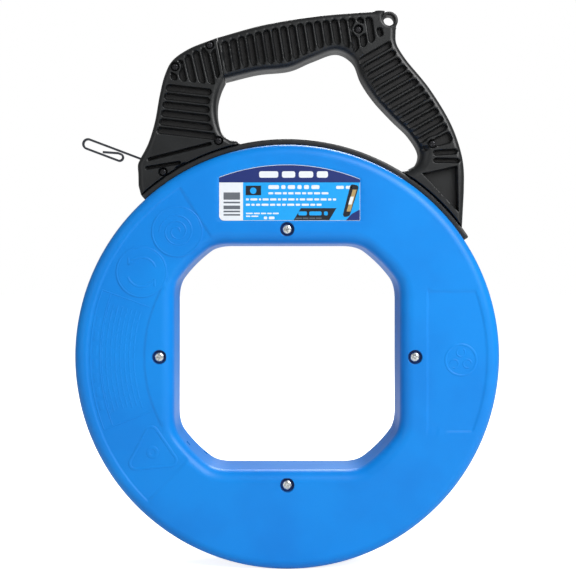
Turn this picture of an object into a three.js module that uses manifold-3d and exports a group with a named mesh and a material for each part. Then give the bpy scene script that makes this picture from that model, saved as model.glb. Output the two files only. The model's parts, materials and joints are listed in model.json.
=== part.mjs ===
// Fish tape reel: a two-shell case that turns inside the arc of its carrying handle, with the
// steel tape wound round its hub and led out through the handle's nose.
// Millimetres, +Z up. The reel's axis runs along Y and the labelled face looks along -Y.
// Every shape is drawn about the reel's centre; the outer group puts the origin in the grip.
import * as THREE from "three";
import { mergeVertices } from "three/addons/utils/BufferGeometryUtils.js";
import Module from "manifold-3d";

const wasm = await Module();
wasm.setup();

// Driving dimensions.
const CASE_RADIUS = 152.4;
const CASE_WIDTH = 60;
const WALL = 2.8;
const RIM_FILLET = 7.5;
const OPENING_RADIUS = 96;
const OPENING_FLAT = 81;
const OPENING_BLEND = 5;
const OPENING_FILLET = 7;
const RIM_SLOT = 10;
const PART_GAP = 0.3;
const RUNNING_CLEARANCE = 0.8;

// The four screws that hold the case halves together, each in its own boss.
const BOSS_INSET = 10.4;
const BOSS_RADIUS = 7;
const REAR_BOSS_RADIUS = 5;
const RECESS_RADIUS = 5.1;
const RECESS_DEPTH = 3.2;
const CROSS_SPAN = 1.2;
const CASE_SCREW = { shank: 1.75, head: 3.4, rise: 2.2, grip: 16, drive: 1.1, sink: 1.3 };
const PILOT_END_GAP = 2;

// Shallow fields moulded in the front face.
const FIELD_DEPTH = 0.6;
const FIELD_SECTOR = { from: 122.3, to: 226, innerBand: 6, outerBand: 9.4 };
const PAD = { left: 100.2, top: 47, bottom: -53, rimBand: 9.8 };
const LABEL = { left: -48.5, right: 52, rimBand: 15, lift: 1, margin: 0.4, thickness: 0.25 };

// Windows through the hub wall: [angle, distance behind the middle plane].
const WINDOWS = [
  [221.5, -11],
  [230.5, 16],
  [37, 21],
];
const WINDOW_SIZE = { along: 4.5, across: 3.5 };

// The steel tape: its section, its wound pack, and the loop that anchors its inner end.
const TAPE = { width: 3.2, thickness: 1.5 };
const PACK_HEIGHT = 15;
const POST = { radius: 2, x: 8, z: -27, socketRadius: 4.5, socketDepth: 6, sideGap: 6 };
const ANCHOR_LEAD_ANGLE = -8.4;

// The tape's way out through the nose.
const EXIT = { angle: 126.7, height: 27.9, rise: 20.7 };
const CHANNEL_CLEARANCE = 0.6;
const TAIL_CLEARANCE = 2;
const INWARD_TRAVEL = 10;
const HOOK = { reach: 40.4, bend: 3.55, back: 15.3, smallBend: 2.6, turnEnd: 250 };
const HOOK_LEG = { start: 2, lift: 0.1, tip: [28.1, 5.2] };
const BUSH = { face: 2.8, length: 9.2, width: 7, height: 6 };

// The guide that rides on the rim: an outer strip, a web in the slot and an inner shoe.
const GUIDE = { from: 33.2, to: 132.3, strip: 4.7, stripHalf: 13, shoe: 3, shoeHalf: 12 };
const LUG = { half: 3, foot: 2, collar: 4.2 };
const NOSE_LUG = { from: 108.2, to: 121.5, height: 14.5 };
const GRIP_LUG = [
  [54.6, LUG.foot],
  [45, LUG.foot],
  [48, 20],
  [53, 39],
  [58, 39],
  [54.8, 22],
];
const GRIP_LUG_CENTRE = [51, 20];

// Handle outlines as [angle in degrees, height above the rim], each run a smooth curve.
const HANDLE_DEPTH = 31;
const HANDLE_CHAMFER = 1.5;
const NOSE_OUTER = [
  [131.2, 12],
  [129.4, 18.5],
  [128, 24.2],
  [126.8, 26.4],
  [123.4, 32],
  [119.6, 43],
  [116, 59.3],
  [113.6, 70.5],
  [111.4, 78],
  [108, 82.2],
  [102.5, 84.8],
];
const NOSE_INNER = [
  [102.8, 54.5],
  [104.2, 48],
  [105.6, 39],
  [106.5, 27],
  [106.3, 16],
  [104.8, 10.2],
  [103.2, 8.4],
];
const NOSE_FOOT = { left: 132.3, right: 102.6 };
const GRIP_TOP = [
  [102.5, 84.8],
  [94, 89.2],
  [84.6, 96.4],
  [75.8, 106.4],
];
const GRIP_BACK = [
  [71.55, 97.5],
  [70.8, 89],
  [68.6, 81.2],
  [62, 68.2],
  [54.5, 53.8],
  [49.1, 41.6],
  [46.2, 33.6],
  [42.8, 23],
];
const GRIP_UNDER = [
  [57, 9.6],
  [56, 16.7],
  [56.9, 24.6],
  [60.9, 31.9],
  [66, 37.4],
  [71.4, 46.4],
  [75, 57],
  [77.4, 69],
  [80.6, 73.4],
  [85.2, 65.4],
  [89.4, 58],
  [96, 56.3],
  [102.8, 54.5],
];
const GRIP_FOOT = { left: 58.4, right: 36.4 };
const LOOP = { angle: 73.1, height: 104.5, radius: 6.6, from: 104, to: -24 };
const LOOP_HOLE = { bore: 4, step: 7.3, halfDepth: 6 };
const POCKET = [
  [53.2, 12.8],
  [48.2, 32],
  [40.6, 10.6],
];
const POCKET_DEPTH = 9.5;
const TONGUE = { from: 98.6, to: 106, bottom: 63, top: 82, half: 5 };

// Handle screws: [angle, height above the rim].
const HANDLE_SCREWS = {
  nose_top: [111.2, 72.9],
  nose_seam: [104, 80.4],
  nose_foot: [124, 8.8],
  nose_heel: [107.7, 11.7],
  grip_top: [77.7, 90.4],
  grip_foot: [55.6, 34.4],
};
const HANDLE_SCREW = { shank: 1.5, head: 2.6, rise: 1.9, grip: 9, drive: 0.9, sink: 1.1 };
const HANDLE_RECESS = { radius: 3.2, depth: 3.4 };
const GRIP_CENTRE = { x: 6, z: 227 };

// Facets: steps round a full turn, a boss, a bore, a bend, a fillet, an arch and a handle
// curve, and degrees to a step along a sector and along the guide.
const TURN_STEPS = 60;
const BOSS_STEPS = 24;
const BORE_STEPS = 16;
const BEND_STEPS = 9;
const FILLET_STEPS = 2;
const ARCH_STEPS = 10;
const CURVE_STEPS = 4;
const SECTOR_STEP = 5;
const GUIDE_STEP = 3;

// Sizes that follow from those above.
const HALF_WIDTH = CASE_WIDTH / 2;
const RIM_INNER = CASE_RADIUS - WALL;
const HUB_RADIUS = OPENING_RADIUS + WALL;
const SCREW_CIRCLE = OPENING_FLAT + BOSS_INSET;
const EYE_OUTER = POST.radius + PART_GAP + TAPE.thickness;
const POST_REACH = Math.hypot(OPENING_FLAT + POST.x, POST.z) + EYE_OUTER;
const PACK_INNER = Math.max(HUB_RADIUS, POST_REACH, SCREW_CIRCLE + BOSS_RADIUS) + PART_GAP;
const PACK_OUTER = PACK_INNER + PACK_HEIGHT;
const PACK_HALF = HALF_WIDTH - OPENING_FILLET - PART_GAP;
const STRIP_INNER = CASE_RADIUS + RUNNING_CLEARANCE;
const STRIP_OUTER = STRIP_INNER + GUIDE.strip;
const SHOE_OUTER = RIM_INNER - RUNNING_CLEARANCE;
const WEB_HALF = RIM_SLOT / 2 - RUNNING_CLEARANCE;
const FOOT_HEIGHT = STRIP_OUTER - CASE_RADIUS + PART_GAP;
const HANDLE_HALF = HANDLE_DEPTH / 2;
const CHANNEL = {
  width: TAPE.width + 2 * CHANNEL_CLEARANCE,
  height: TAPE.thickness + 2 * CHANNEL_CLEARANCE,
};

const radians = THREE.MathUtils.degToRad;

// A point in the reel's plane at an angle and a distance from its centre.
function polar(angle, radius) {
  return new THREE.Vector2(radius * Math.cos(radians(angle)), radius * Math.sin(radians(angle)));
}

// The same, measured from the rim outwards.
function aboveRim([angle, height]) {
  return polar(angle, CASE_RADIUS + height);
}

// A closed geometry as a solid that can be joined and cut.
function solid(geometry) {
  const bare = geometry.index ? geometry.toNonIndexed() : geometry.clone();
  bare.deleteAttribute("normal");
  bare.deleteAttribute("uv");
  const merged = mergeVertices(bare, 1e-4);
  return new wasm.Manifold(
    new wasm.Mesh({
      numProp: 3,
      vertProperties: merged.attributes.position.array,
      triVerts: new Uint32Array(merged.index.array),
    }),
  );
}

function geometryOf(body) {
  const mesh = body.getMesh();
  const geometry = new THREE.BufferGeometry();
  geometry.setAttribute("position", new THREE.BufferAttribute(mesh.vertProperties, 3));
  geometry.setIndex(new THREE.BufferAttribute(mesh.triVerts, 1));
  geometry.computeVertexNormals();
  return geometry;
}

function joined(first, ...others) {
  return others.reduce((body, other) => body.add(other), first);
}

function cut(body, ...tools) {
  return tools.reduce((rest, tool) => rest.subtract(tool), body);
}

// Sections are rings of as many points each. They are skinned in order, and either the last
// meets the first or both ends are capped with the flat section's own triangles.
function skin(sections, capTriangles) {
  const around = sections[0].length;
  const position = sections.flat().flatMap((p) => [p.x, p.y, p.z]);
  const index = [];
  const spans = capTriangles ? sections.length - 1 : sections.length;
  for (let i = 0; i < spans; i += 1) {
    const here = i * around;
    const next = ((i + 1) % sections.length) * around;
    for (let j = 0; j < around; j += 1) {
      const k = (j + 1) % around;
      index.push(here + j, next + j, next + k, here + j, next + k, here + k);
    }
  }
  if (capTriangles) {
    const last = (sections.length - 1) * around;
    for (const [a, b, c] of capTriangles) {
      index.push(a, b, c, last + a, last + c, last + b);
    }
  }
  const geometry = new THREE.BufferGeometry();
  geometry.setAttribute("position", new THREE.Float32BufferAttribute(position, 3));
  geometry.setIndex(index);
  const body = solid(geometry);
  if (body.volume() > 0) return body;
  geometry.setIndex(index.reverse());
  return solid(geometry);
}

// A flat outline in the reel's plane, made solid between two depths in front of the middle.
function plate(points, near, far) {
  const shape = new THREE.Shape(points);
  const geometry = new THREE.ExtrudeGeometry(shape, { depth: far - near, bevelEnabled: false });
  geometry.rotateX(Math.PI / 2);
  geometry.translate(0, -near, 0);
  return solid(geometry);
}

// A round bar along Y between two depths in front of the middle.
function rod(centre, radius, near, far, steps = BORE_STEPS) {
  const geometry = new THREE.CylinderGeometry(radius, radius, far - near, steps);
  geometry.translate(centre.x, -(near + far) / 2, centre.y);
  return solid(geometry);
}

function ringArc(from, to, radius, steps) {
  const count = Math.max(2, Math.ceil(steps));
  return Array.from({ length: count + 1 }, (_, i) =>
    polar(from + ((to - from) * i) / count, radius),
  );
}

function sector(from, to, inner, outer, near, far) {
  const steps = Math.abs(to - from) / SECTOR_STEP;
  const outline = [...ringArc(from, to, outer, steps), ...ringArc(to, from, inner, steps)];
  return plate(outline, near, far);
}

// Distance from the axis to the opening's edge, moved outwards by an offset: four flats and
// four arcs, with the corners between them blended.
function openingRadius(angle, offset) {
  const fold = Math.abs((((angle % 90) + 135) % 90) - 45);
  const flat = (OPENING_FLAT + offset) / Math.cos(radians(fold));
  const arc = OPENING_RADIUS + offset;
  const share = Math.max(OPENING_BLEND - Math.abs(flat - arc), 0) / OPENING_BLEND;
  return Math.min(flat, arc) - (share * share * OPENING_BLEND) / 4;
}

// A quarter round in the case's section, from one direction to another.
function quarter(radius, inset, from, to) {
  return Array.from({ length: FILLET_STEPS + 1 }, (_, i) => {
    const turn = radians(from + ((to - from) * i) / FILLET_STEPS);
    return [inset + radius * Math.cos(turn), radius * Math.sin(turn)];
  });
}

// One case half: its section, carried once round the axis. Section points on the hub follow
// the opening's edge and those on the rim follow the outer radius.
function caseShell() {
  const hubCentre = HALF_WIDTH - OPENING_FILLET;
  const rimCentre = HALF_WIDTH - RIM_FILLET;
  const hub = ([offset, depth]) => ({ side: "hub", offset, depth });
  const rim = ([offset, depth]) => ({ side: "rim", offset, depth });
  const hubOuter = quarter(OPENING_FILLET, OPENING_FILLET, 180, 90);
  const hubInner = quarter(OPENING_FILLET - WALL, OPENING_FILLET, 90, 180);
  const rimOuter = quarter(RIM_FILLET, RIM_FILLET, 90, 180);
  const rimInner = quarter(RIM_FILLET - WALL, RIM_FILLET, 180, 90);
  const section = [
    hub([0, PART_GAP / 2]),
    ...hubOuter.map(([o, d]) => hub([o, hubCentre + d])),
    ...rimOuter.map(([o, d]) => rim([o, rimCentre + d])),
    rim([0, RIM_SLOT / 2]),
    rim([WALL, RIM_SLOT / 2]),
    ...rimInner.map(([o, d]) => rim([o, rimCentre + d])),
    ...hubInner.map(([o, d]) => hub([o, hubCentre + d])),
    hub([WALL, PART_GAP / 2]),
  ];
  const sections = Array.from({ length: TURN_STEPS }, (_, i) => {
    const angle = (360 * i) / TURN_STEPS;
    return section.map(({ side, offset, depth }) => {
      const radius = side === "hub" ? openingRadius(angle, offset) : CASE_RADIUS - offset;
      const p = polar(angle, radius);
      return new THREE.Vector3(p.x, -depth, p.y);
    });
  });
  return skin(sections);
}

const screwPlaces = [0, 90, 180, 270].map((angle) => polar(angle, SCREW_CIRCLE));
const postPlace = new THREE.Vector2(OPENING_FLAT + POST.x, POST.z);
const postHalf = HALF_WIDTH - WALL - POST.sideGap / 2;

// A boss and the rib that ties it to the hub wall.
function boss(place, radius) {
  const towards = place.clone().setLength(SCREW_CIRCLE - BOSS_INSET / 2);
  const rib = new THREE.BoxGeometry(BOSS_INSET - WALL, HALF_WIDTH - WALL, WALL);
  rib.rotateY(-place.angle());
  rib.translate(towards.x, -(HALF_WIDTH - WALL) / 2 - PART_GAP / 2, towards.y);
  return joined(rod(place, radius, PART_GAP / 2, HALF_WIDTH - WALL / 2, BOSS_STEPS), solid(rib));
}

function anchorSocket() {
  const mouth = postHalf - POST.socketDepth;
  const body = rod(postPlace, POST.socketRadius, mouth, HALF_WIDTH - WALL / 2);
  return cut(body, rod(postPlace, POST.radius + PART_GAP, mouth - 1, postHalf + PART_GAP));
}

function windows(side) {
  return WINDOWS.filter(([, behind]) => Math.sign(behind) === side).map(([angle, behind]) => {
    const box = new THREE.BoxGeometry(4 * WALL, WINDOW_SIZE.along, WINDOW_SIZE.across);
    box.rotateY(-radians(angle));
    const place = polar(angle, OPENING_RADIUS + WALL / 2);
    box.translate(place.x, -Math.abs(behind), place.y);
    return solid(box);
  });
}

// The outline of the label, or of its recess when grown by a margin.
function labelOutline(margin) {
  const radius = CASE_RADIUS - LABEL.rimBand + margin;
  const left = LABEL.left - margin;
  const right = LABEL.right + margin;
  const bottom = SCREW_CIRCLE + RECESS_RADIUS + LABEL.lift - margin;
  const from = THREE.MathUtils.radToDeg(Math.acos(right / radius));
  const to = THREE.MathUtils.radToDeg(Math.acos(left / radius));
  const arch = ringArc(from, to, radius, ARCH_STEPS);
  return [new THREE.Vector2(left, bottom), new THREE.Vector2(right, bottom), ...arch];
}

function padOutline() {
  const radius = CASE_RADIUS - PAD.rimBand;
  const from = THREE.MathUtils.radToDeg(Math.asin(PAD.bottom / radius));
  const to = THREE.MathUtils.radToDeg(Math.asin(PAD.top / radius));
  const corners = [new THREE.Vector2(PAD.left, PAD.top), new THREE.Vector2(PAD.left, PAD.bottom)];
  return [...ringArc(from, to, radius, ARCH_STEPS), ...corners];
}

function frontCaseHalf() {
  const floor = HALF_WIDTH - FIELD_DEPTH;
  const over = HALF_WIDTH + 1;
  const field = sector(
    FIELD_SECTOR.from,
    FIELD_SECTOR.to,
    OPENING_RADIUS + FIELD_SECTOR.innerBand,
    CASE_RADIUS - FIELD_SECTOR.outerBand,
    floor,
    over,
  );
  const shell = joined(
    caseShell(),
    ...screwPlaces.map((place) => boss(place, BOSS_RADIUS)),
    anchorSocket(),
  );
  const recessFloor = HALF_WIDTH - RECESS_DEPTH;
  const bore = CASE_SCREW.shank + PART_GAP;
  return cut(
    shell,
    ...screwPlaces.map((place) => rod(place, RECESS_RADIUS, recessFloor, over, BOSS_STEPS)),
    ...screwPlaces.map((place) => rod(place, bore, -1, HALF_WIDTH)),
    ...windows(-1),
    field,
    plate(padOutline(), floor, over),
    plate(labelOutline(LABEL.margin), floor, over),
  );
}

function rearCaseHalf() {
  const shell = joined(
    caseShell(),
    ...screwPlaces.map((place) => boss(place, REAR_BOSS_RADIUS)),
    anchorSocket(),
  );
  const bore = CASE_SCREW.shank + PART_GAP;
  const end = CASE_SCREW.grip + PILOT_END_GAP;
  return cut(shell, ...screwPlaces.map((place) => rod(place, bore, -1, end)), ...windows(1));
}

// A cross-recessed screw whose head rests at a depth in front of the middle plane.
function screw(place, size, seat) {
  const head = rod(place, size.head, seat, seat + size.rise);
  const shank = rod(place, size.shank, -size.grip, seat + size.rise / 2);
  const slots = [0, 1].map((turn) => {
    const slot = new THREE.BoxGeometry(size.head * CROSS_SPAN, 2 * size.sink, size.drive);
    slot.rotateY((turn * Math.PI) / 2);
    slot.translate(place.x, -(seat + size.rise), place.y);
    return solid(slot);
  });
  return cut(joined(head, shank), ...slots);
}

// The tape's line: outwards from the nose, and the direction across it, downwards.
const exitPoint = aboveRim([EXIT.angle, EXIT.height]);
const outward = new THREE.Vector2(-Math.cos(radians(EXIT.rise)), Math.sin(radians(EXIT.rise)));
const across = new THREE.Vector2(-outward.y, outward.x);

// How far the tail goes behind the exit: fully drawn in, it still clears the wound pack.
function tailLength() {
  const nearest = Math.abs(exitPoint.cross(outward));
  const limit = PACK_OUTER + TAIL_CLEARANCE;
  const pastPack = Math.sqrt(Math.max(0, limit * limit - nearest * nearest));
  return exitPoint.dot(outward) - pastPack - INWARD_TRAVEL;
}

// A point beside the tape's line: along it and across it from the exit.
function besideTape(along, offset) {
  const p = exitPoint.clone().addScaledVector(outward, along);
  return p.addScaledVector(across, offset);
}

function bend(centreAlong, centreAcross, radius, from, to) {
  return Array.from({ length: BEND_STEPS + 1 }, (_, i) => {
    const turn = radians(from + ((to - from) * i) / BEND_STEPS);
    return [centreAlong + radius * Math.cos(turn), centreAcross + radius * Math.sin(turn)];
  });
}

// A strip of the tape's section along a flat path, at the middle plane.
function strip(path) {
  const halfThick = TAPE.thickness / 2;
  const halfWide = TAPE.width / 2;
  const sections = path.map((p, i) => {
    const before = path[Math.max(i - 1, 0)];
    const after = path[Math.min(i + 1, path.length - 1)];
    const along = after.clone().sub(before).normalize();
    const side = new THREE.Vector2(-along.y, along.x).multiplyScalar(halfThick);
    return [
      new THREE.Vector3(p.x + side.x, -halfWide, p.y + side.y),
      new THREE.Vector3(p.x + side.x, halfWide, p.y + side.y),
      new THREE.Vector3(p.x - side.x, halfWide, p.y - side.y),
      new THREE.Vector3(p.x - side.x, -halfWide, p.y - side.y),
    ];
  });
  const caps = [
    [0, 1, 2],
    [0, 2, 3],
  ];
  return skin(sections, caps);
}

// The tape's free end: a straight shank and a hook folded back on itself twice.
function tapeEnd() {
  const deep = 2 * HOOK.bend;
  const route = [
    [-tailLength(), 0],
    [0, 0],
    ...bend(HOOK.reach, HOOK.bend, HOOK.bend, -90, 90),
    ...bend(HOOK.back, deep - HOOK.smallBend, HOOK.smallBend, 90, HOOK.turnEnd),
    [HOOK.back + HOOK_LEG.start, deep - 2 * HOOK.smallBend + HOOK_LEG.lift],
    HOOK_LEG.tip,
  ];
  return strip(route.map(([along, offset]) => besideTape(along, offset)));
}

// The wound pack, with the loop at its inner end round the anchor post.
function woundTape() {
  const profile = [
    [PACK_INNER, PACK_HALF],
    [PACK_OUTER, PACK_HALF],
    [PACK_OUTER, -PACK_HALF],
    [PACK_INNER, -PACK_HALF],
    [PACK_INNER, PACK_HALF],
  ].map(([r, y]) => new THREE.Vector2(r, y));
  const ring = solid(new THREE.LatheGeometry(profile.reverse(), TURN_STEPS));
  const eyeInner = POST.radius + PART_GAP;
  const half = TAPE.width / 2;
  const eye = rod(postPlace, EYE_OUTER, -half, half);
  const lead = polar(ANCHOR_LEAD_ANGLE, PACK_INNER + TAPE.thickness);
  const side = new THREE.Vector2(postPlace.x + eyeInner + TAPE.thickness / 2, postPlace.y);
  const leg = strip([side, lead]);
  return cut(joined(ring, eye, leg), rod(postPlace, eyeInner, -half - 1, half + 1));
}

// The guide's section carried along the rim, with its lugs, screw holes and tape channel.
function rimGuide() {
  const section = [
    [STRIP_OUTER, GUIDE.stripHalf],
    [STRIP_INNER, GUIDE.stripHalf],
    [STRIP_INNER, WEB_HALF],
    [SHOE_OUTER, WEB_HALF],
    [SHOE_OUTER, GUIDE.shoeHalf],
    [SHOE_OUTER - GUIDE.shoe, GUIDE.shoeHalf],
  ];
  const whole = [...section, ...section.map(([r, y]) => [r, -y]).reverse()];
  const steps = Math.ceil((GUIDE.to - GUIDE.from) / GUIDE_STEP);
  const sections = Array.from({ length: steps + 1 }, (_, i) => {
    const angle = GUIDE.from + ((GUIDE.to - GUIDE.from) * i) / steps;
    return whole.map(([r, y]) => {
      const p = polar(angle, r);
      return new THREE.Vector3(p.x, y, p.y);
    });
  });
  const outline = whole.map(([r, y]) => new THREE.Vector2(r, y));
  const caps = THREE.ShapeUtils.triangulateShape(outline, []);
  const clockwise = THREE.ShapeUtils.isClockWise(outline);
  const facing = clockwise ? caps.map(([a, b, c]) => [a, c, b]) : caps;
  const bar = skin(sections, facing);
  const heel = aboveRim(HANDLE_SCREWS.nose_heel);
  const foot = aboveRim(HANDLE_SCREWS.grip_foot);
  const noseLug = sector(
    NOSE_LUG.from,
    NOSE_LUG.to,
    CASE_RADIUS + LUG.foot,
    CASE_RADIUS + NOSE_LUG.height,
    -LUG.half,
    LUG.half,
  );
  const collar = rod(heel, LUG.collar, -LUG.half, LUG.half);
  const gripLug = plate(GRIP_LUG.map(aboveRim), -LUG.half, LUG.half);
  const bore = HANDLE_SCREW.shank + PART_GAP;
  return cut(
    joined(bar, noseLug, collar, gripLug),
    rod(heel, bore, -LUG.half - 1, LUG.half + 1),
    rod(foot, bore, -LUG.half - 1, LUG.half + 1),
    tapeBox(-tailLength(), 0, CHANNEL.width, CHANNEL.height),
  );
}

// A box along the tape's line, between two distances from the exit.
function tapeBox(from, to, width, height) {
  const box = new THREE.BoxGeometry(to - from, width, height);
  box.translate(-(from + to) / 2, 0, 0);
  box.rotateY(radians(EXIT.rise));
  box.translate(exitPoint.x, 0, exitPoint.y);
  return solid(box);
}

function noseBush() {
  const back = -BUSH.face - BUSH.length;
  const block = tapeBox(back, -BUSH.face, BUSH.width, BUSH.height);
  return cut(block, tapeBox(back - 1, 0, CHANNEL.width, CHANNEL.height));
}

// A smooth run through points given above the rim.
function smooth(points) {
  const flat = points.map(aboveRim).map((p) => new THREE.Vector3(p.x, p.y, 0));
  const curve = new THREE.CatmullRomCurve3(flat, false, "centripetal");
  return curve.getPoints((points.length - 1) * CURVE_STEPS).map((p) => new THREE.Vector2(p.x, p.y));
}

function footArc(from, to) {
  return ringArc(from, to, CASE_RADIUS + FOOT_HEIGHT, Math.abs(to - from) / GUIDE_STEP);
}

function noseOutline() {
  return [
    ...footArc(NOSE_FOOT.right, NOSE_FOOT.left),
    ...smooth(NOSE_OUTER),
    ...smooth(NOSE_INNER),
  ];
}

// The grip's outline starts a part's gap past the seam.
function gripOutline() {
  const seam = THREE.MathUtils.radToDeg(PART_GAP / CASE_RADIUS);
  const moved = ([angle, height]) => [angle - seam, height];
  const top = GRIP_TOP.map((p, i) => (i === 0 ? moved(p) : p));
  const under = GRIP_UNDER.map((p, i) => (i === GRIP_UNDER.length - 1 ? moved(p) : p));
  const centre = aboveRim([LOOP.angle, LOOP.height]);
  const loop = bend(centre.x, centre.y, LOOP.radius, LOOP.from, LOOP.to);
  return [
    ...smooth(top),
    ...loop.map(([x, y]) => new THREE.Vector2(x, y)),
    ...smooth(GRIP_BACK),
    ...footArc(GRIP_FOOT.right, GRIP_FOOT.left),
    ...smooth(under),
  ];
}

// One half of a handle moulding: the outline at full depth with its outer edge chamfered,
// cut off at the parting plane.
function handleHalf(outline) {
  const geometry = new THREE.ExtrudeGeometry(new THREE.Shape(outline), {
    depth: HANDLE_DEPTH - 2 * HANDLE_CHAMFER,
    bevelThickness: HANDLE_CHAMFER,
    bevelSize: HANDLE_CHAMFER,
    bevelOffset: -HANDLE_CHAMFER,
    bevelSegments: 1,
  });
  geometry.translate(0, 0, HANDLE_CHAMFER - HANDLE_HALF);
  geometry.rotateX(Math.PI / 2);
  const beyond = new THREE.BoxGeometry(4 * CASE_RADIUS, HANDLE_DEPTH, 5 * CASE_RADIUS);
  beyond.translate(0, HANDLE_HALF - PART_GAP / 2, 0);
  return cut(solid(geometry), solid(beyond));
}

function screwBores(names, front) {
  const bore = HANDLE_SCREW.shank + PART_GAP;
  const floor = HANDLE_HALF - HANDLE_RECESS.depth;
  return names.flatMap((name) => {
    const place = aboveRim(HANDLE_SCREWS[name]);
    if (!front) return [rod(place, bore, -1, HANDLE_SCREW.grip + PILOT_END_GAP / 2)];
    return [
      rod(place, bore, -1, HANDLE_HALF),
      rod(place, HANDLE_RECESS.radius, floor, HANDLE_HALF + 1),
    ];
  });
}

function noseHalf(front) {
  const half = LUG.half + PART_GAP;
  const heel = aboveRim(HANDLE_SCREWS.nose_heel);
  const room = THREE.MathUtils.radToDeg((2 * PART_GAP) / CASE_RADIUS);
  const lugRoom = sector(
    NOSE_LUG.from - room,
    NOSE_LUG.to + room,
    CASE_RADIUS + LUG.foot,
    CASE_RADIUS + NOSE_LUG.height + PART_GAP,
    -1,
    half,
  );
  return cut(
    handleHalf(noseOutline()),
    lugRoom,
    rod(heel, LUG.collar + PART_GAP, -1, half),
    tapeBox(-tailLength(), EXIT.height, CHANNEL.width, CHANNEL.height),
    tapeBox(
      -BUSH.face - BUSH.length - PART_GAP,
      EXIT.height,
      BUSH.width + 2 * PART_GAP,
      BUSH.height + 2 * PART_GAP,
    ),
    tongue(PART_GAP, -1, TONGUE.half + PART_GAP),
    ...screwBores(["nose_top", "nose_seam", "nose_foot", "nose_heel"], front),
  );
}

// The key that runs from the grip into the nose, grown by a gap for the room it needs.
function tongue(gap, near, far) {
  const widen = THREE.MathUtils.radToDeg(gap / CASE_RADIUS);
  return sector(
    TONGUE.from - widen,
    TONGUE.to + widen,
    CASE_RADIUS + TONGUE.bottom - gap,
    CASE_RADIUS + TONGUE.top + gap,
    near,
    far,
  );
}

function gripHalf(front) {
  const half = LUG.half + PART_GAP;
  const loopPlace = aboveRim([LOOP.angle, LOOP.height]);
  const lugCentre = aboveRim(GRIP_LUG_CENTRE);
  const room = GRIP_LUG.map(aboveRim).map((p) => {
    const out = p.clone().sub(lugCentre);
    return p.clone().add(out.setLength(2 * PART_GAP));
  });
  const body = cut(
    handleHalf(gripOutline()),
    plate(room, -1, half),
    rod(loopPlace, LOOP_HOLE.bore, -1, HANDLE_HALF + 1, BOSS_STEPS),
    rod(loopPlace, LOOP_HOLE.step, LOOP_HOLE.halfDepth, HANDLE_HALF + 1, BOSS_STEPS),
    plate(POCKET.map(aboveRim), HANDLE_HALF - POCKET_DEPTH, HANDLE_HALF + 1),
    ...screwBores(["grip_top", "grip_foot"], front),
  );
  if (front) return cut(body, tongue(PART_GAP, -1, TONGUE.half + PART_GAP));
  const reach = TONGUE.half + 1;
  const bore = rod(aboveRim(HANDLE_SCREWS.nose_seam), HANDLE_SCREW.shank + PART_GAP, -reach, reach);
  return cut(joined(body, tongue(0, -TONGUE.half, TONGUE.half)), bore);
}

// Surface finishes.
const FINISH = {
  blue: { color: 0x1a8ce6, roughness: 0.42, metalness: 0 },
  black: { color: 0x222427, roughness: 0.5, metalness: 0 },
  nylon: { color: 0x16181a, roughness: 0.4, metalness: 0 },
  zinc: { color: 0xb9bdc2, roughness: 0.3, metalness: 1 },
  blackScrew: { color: 0x2c2e31, roughness: 0.35, metalness: 0.9 },
  tape: { color: 0x4a4e55, roughness: 0.38, metalness: 0.9 },
  label: { color: 0x1f6fc0, roughness: 0.35, metalness: 0 },
};

const reel = new THREE.Group();

function place(name, body, finish, mirrored = false) {
  const mesh = new THREE.Mesh(geometryOf(body), new THREE.MeshStandardMaterial(FINISH[finish]));
  mesh.name = name;
  if (mirrored) mesh.scale.y = -1;
  reel.add(mesh);
}

place("front_case_half", frontCaseHalf(), "blue");
place("rear_case_half", rearCaseHalf(), "blue", true);
["right", "top", "left", "bottom"].forEach((side, i) => {
  const seat = HALF_WIDTH - RECESS_DEPTH + PART_GAP / 2;
  place(`case_screw_${side}`, screw(screwPlaces[i], CASE_SCREW, seat), "zinc");
});
place("wound_tape", woundTape(), "tape");
place("anchor_post", rod(postPlace, POST.radius, -postHalf, postHalf), "zinc");
const labelBack = HALF_WIDTH - FIELD_DEPTH + PART_GAP;
place("label", plate(labelOutline(0), labelBack, labelBack + LABEL.thickness), "label");

place("rim_guide", rimGuide(), "nylon");
place("nose_front", noseHalf(true), "black");
place("nose_rear", noseHalf(false), "black", true);
place("grip_front", gripHalf(true), "black");
place("grip_rear", gripHalf(false), "black", true);
place("nose_bush", noseBush(), "zinc");
Object.entries(HANDLE_SCREWS).forEach(([name, at]) => {
  const seat = HANDLE_HALF - HANDLE_RECESS.depth + PART_GAP / 2;
  place(`handle_screw_${name}`, screw(aboveRim(at), HANDLE_SCREW, seat), "blackScrew");
});
place("tape_end", tapeEnd(), "tape");

reel.position.set(-GRIP_CENTRE.x, 0, -GRIP_CENTRE.z);
const part = new THREE.Group();
part.add(reel);

export default part;
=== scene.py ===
import json
import math

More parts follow.
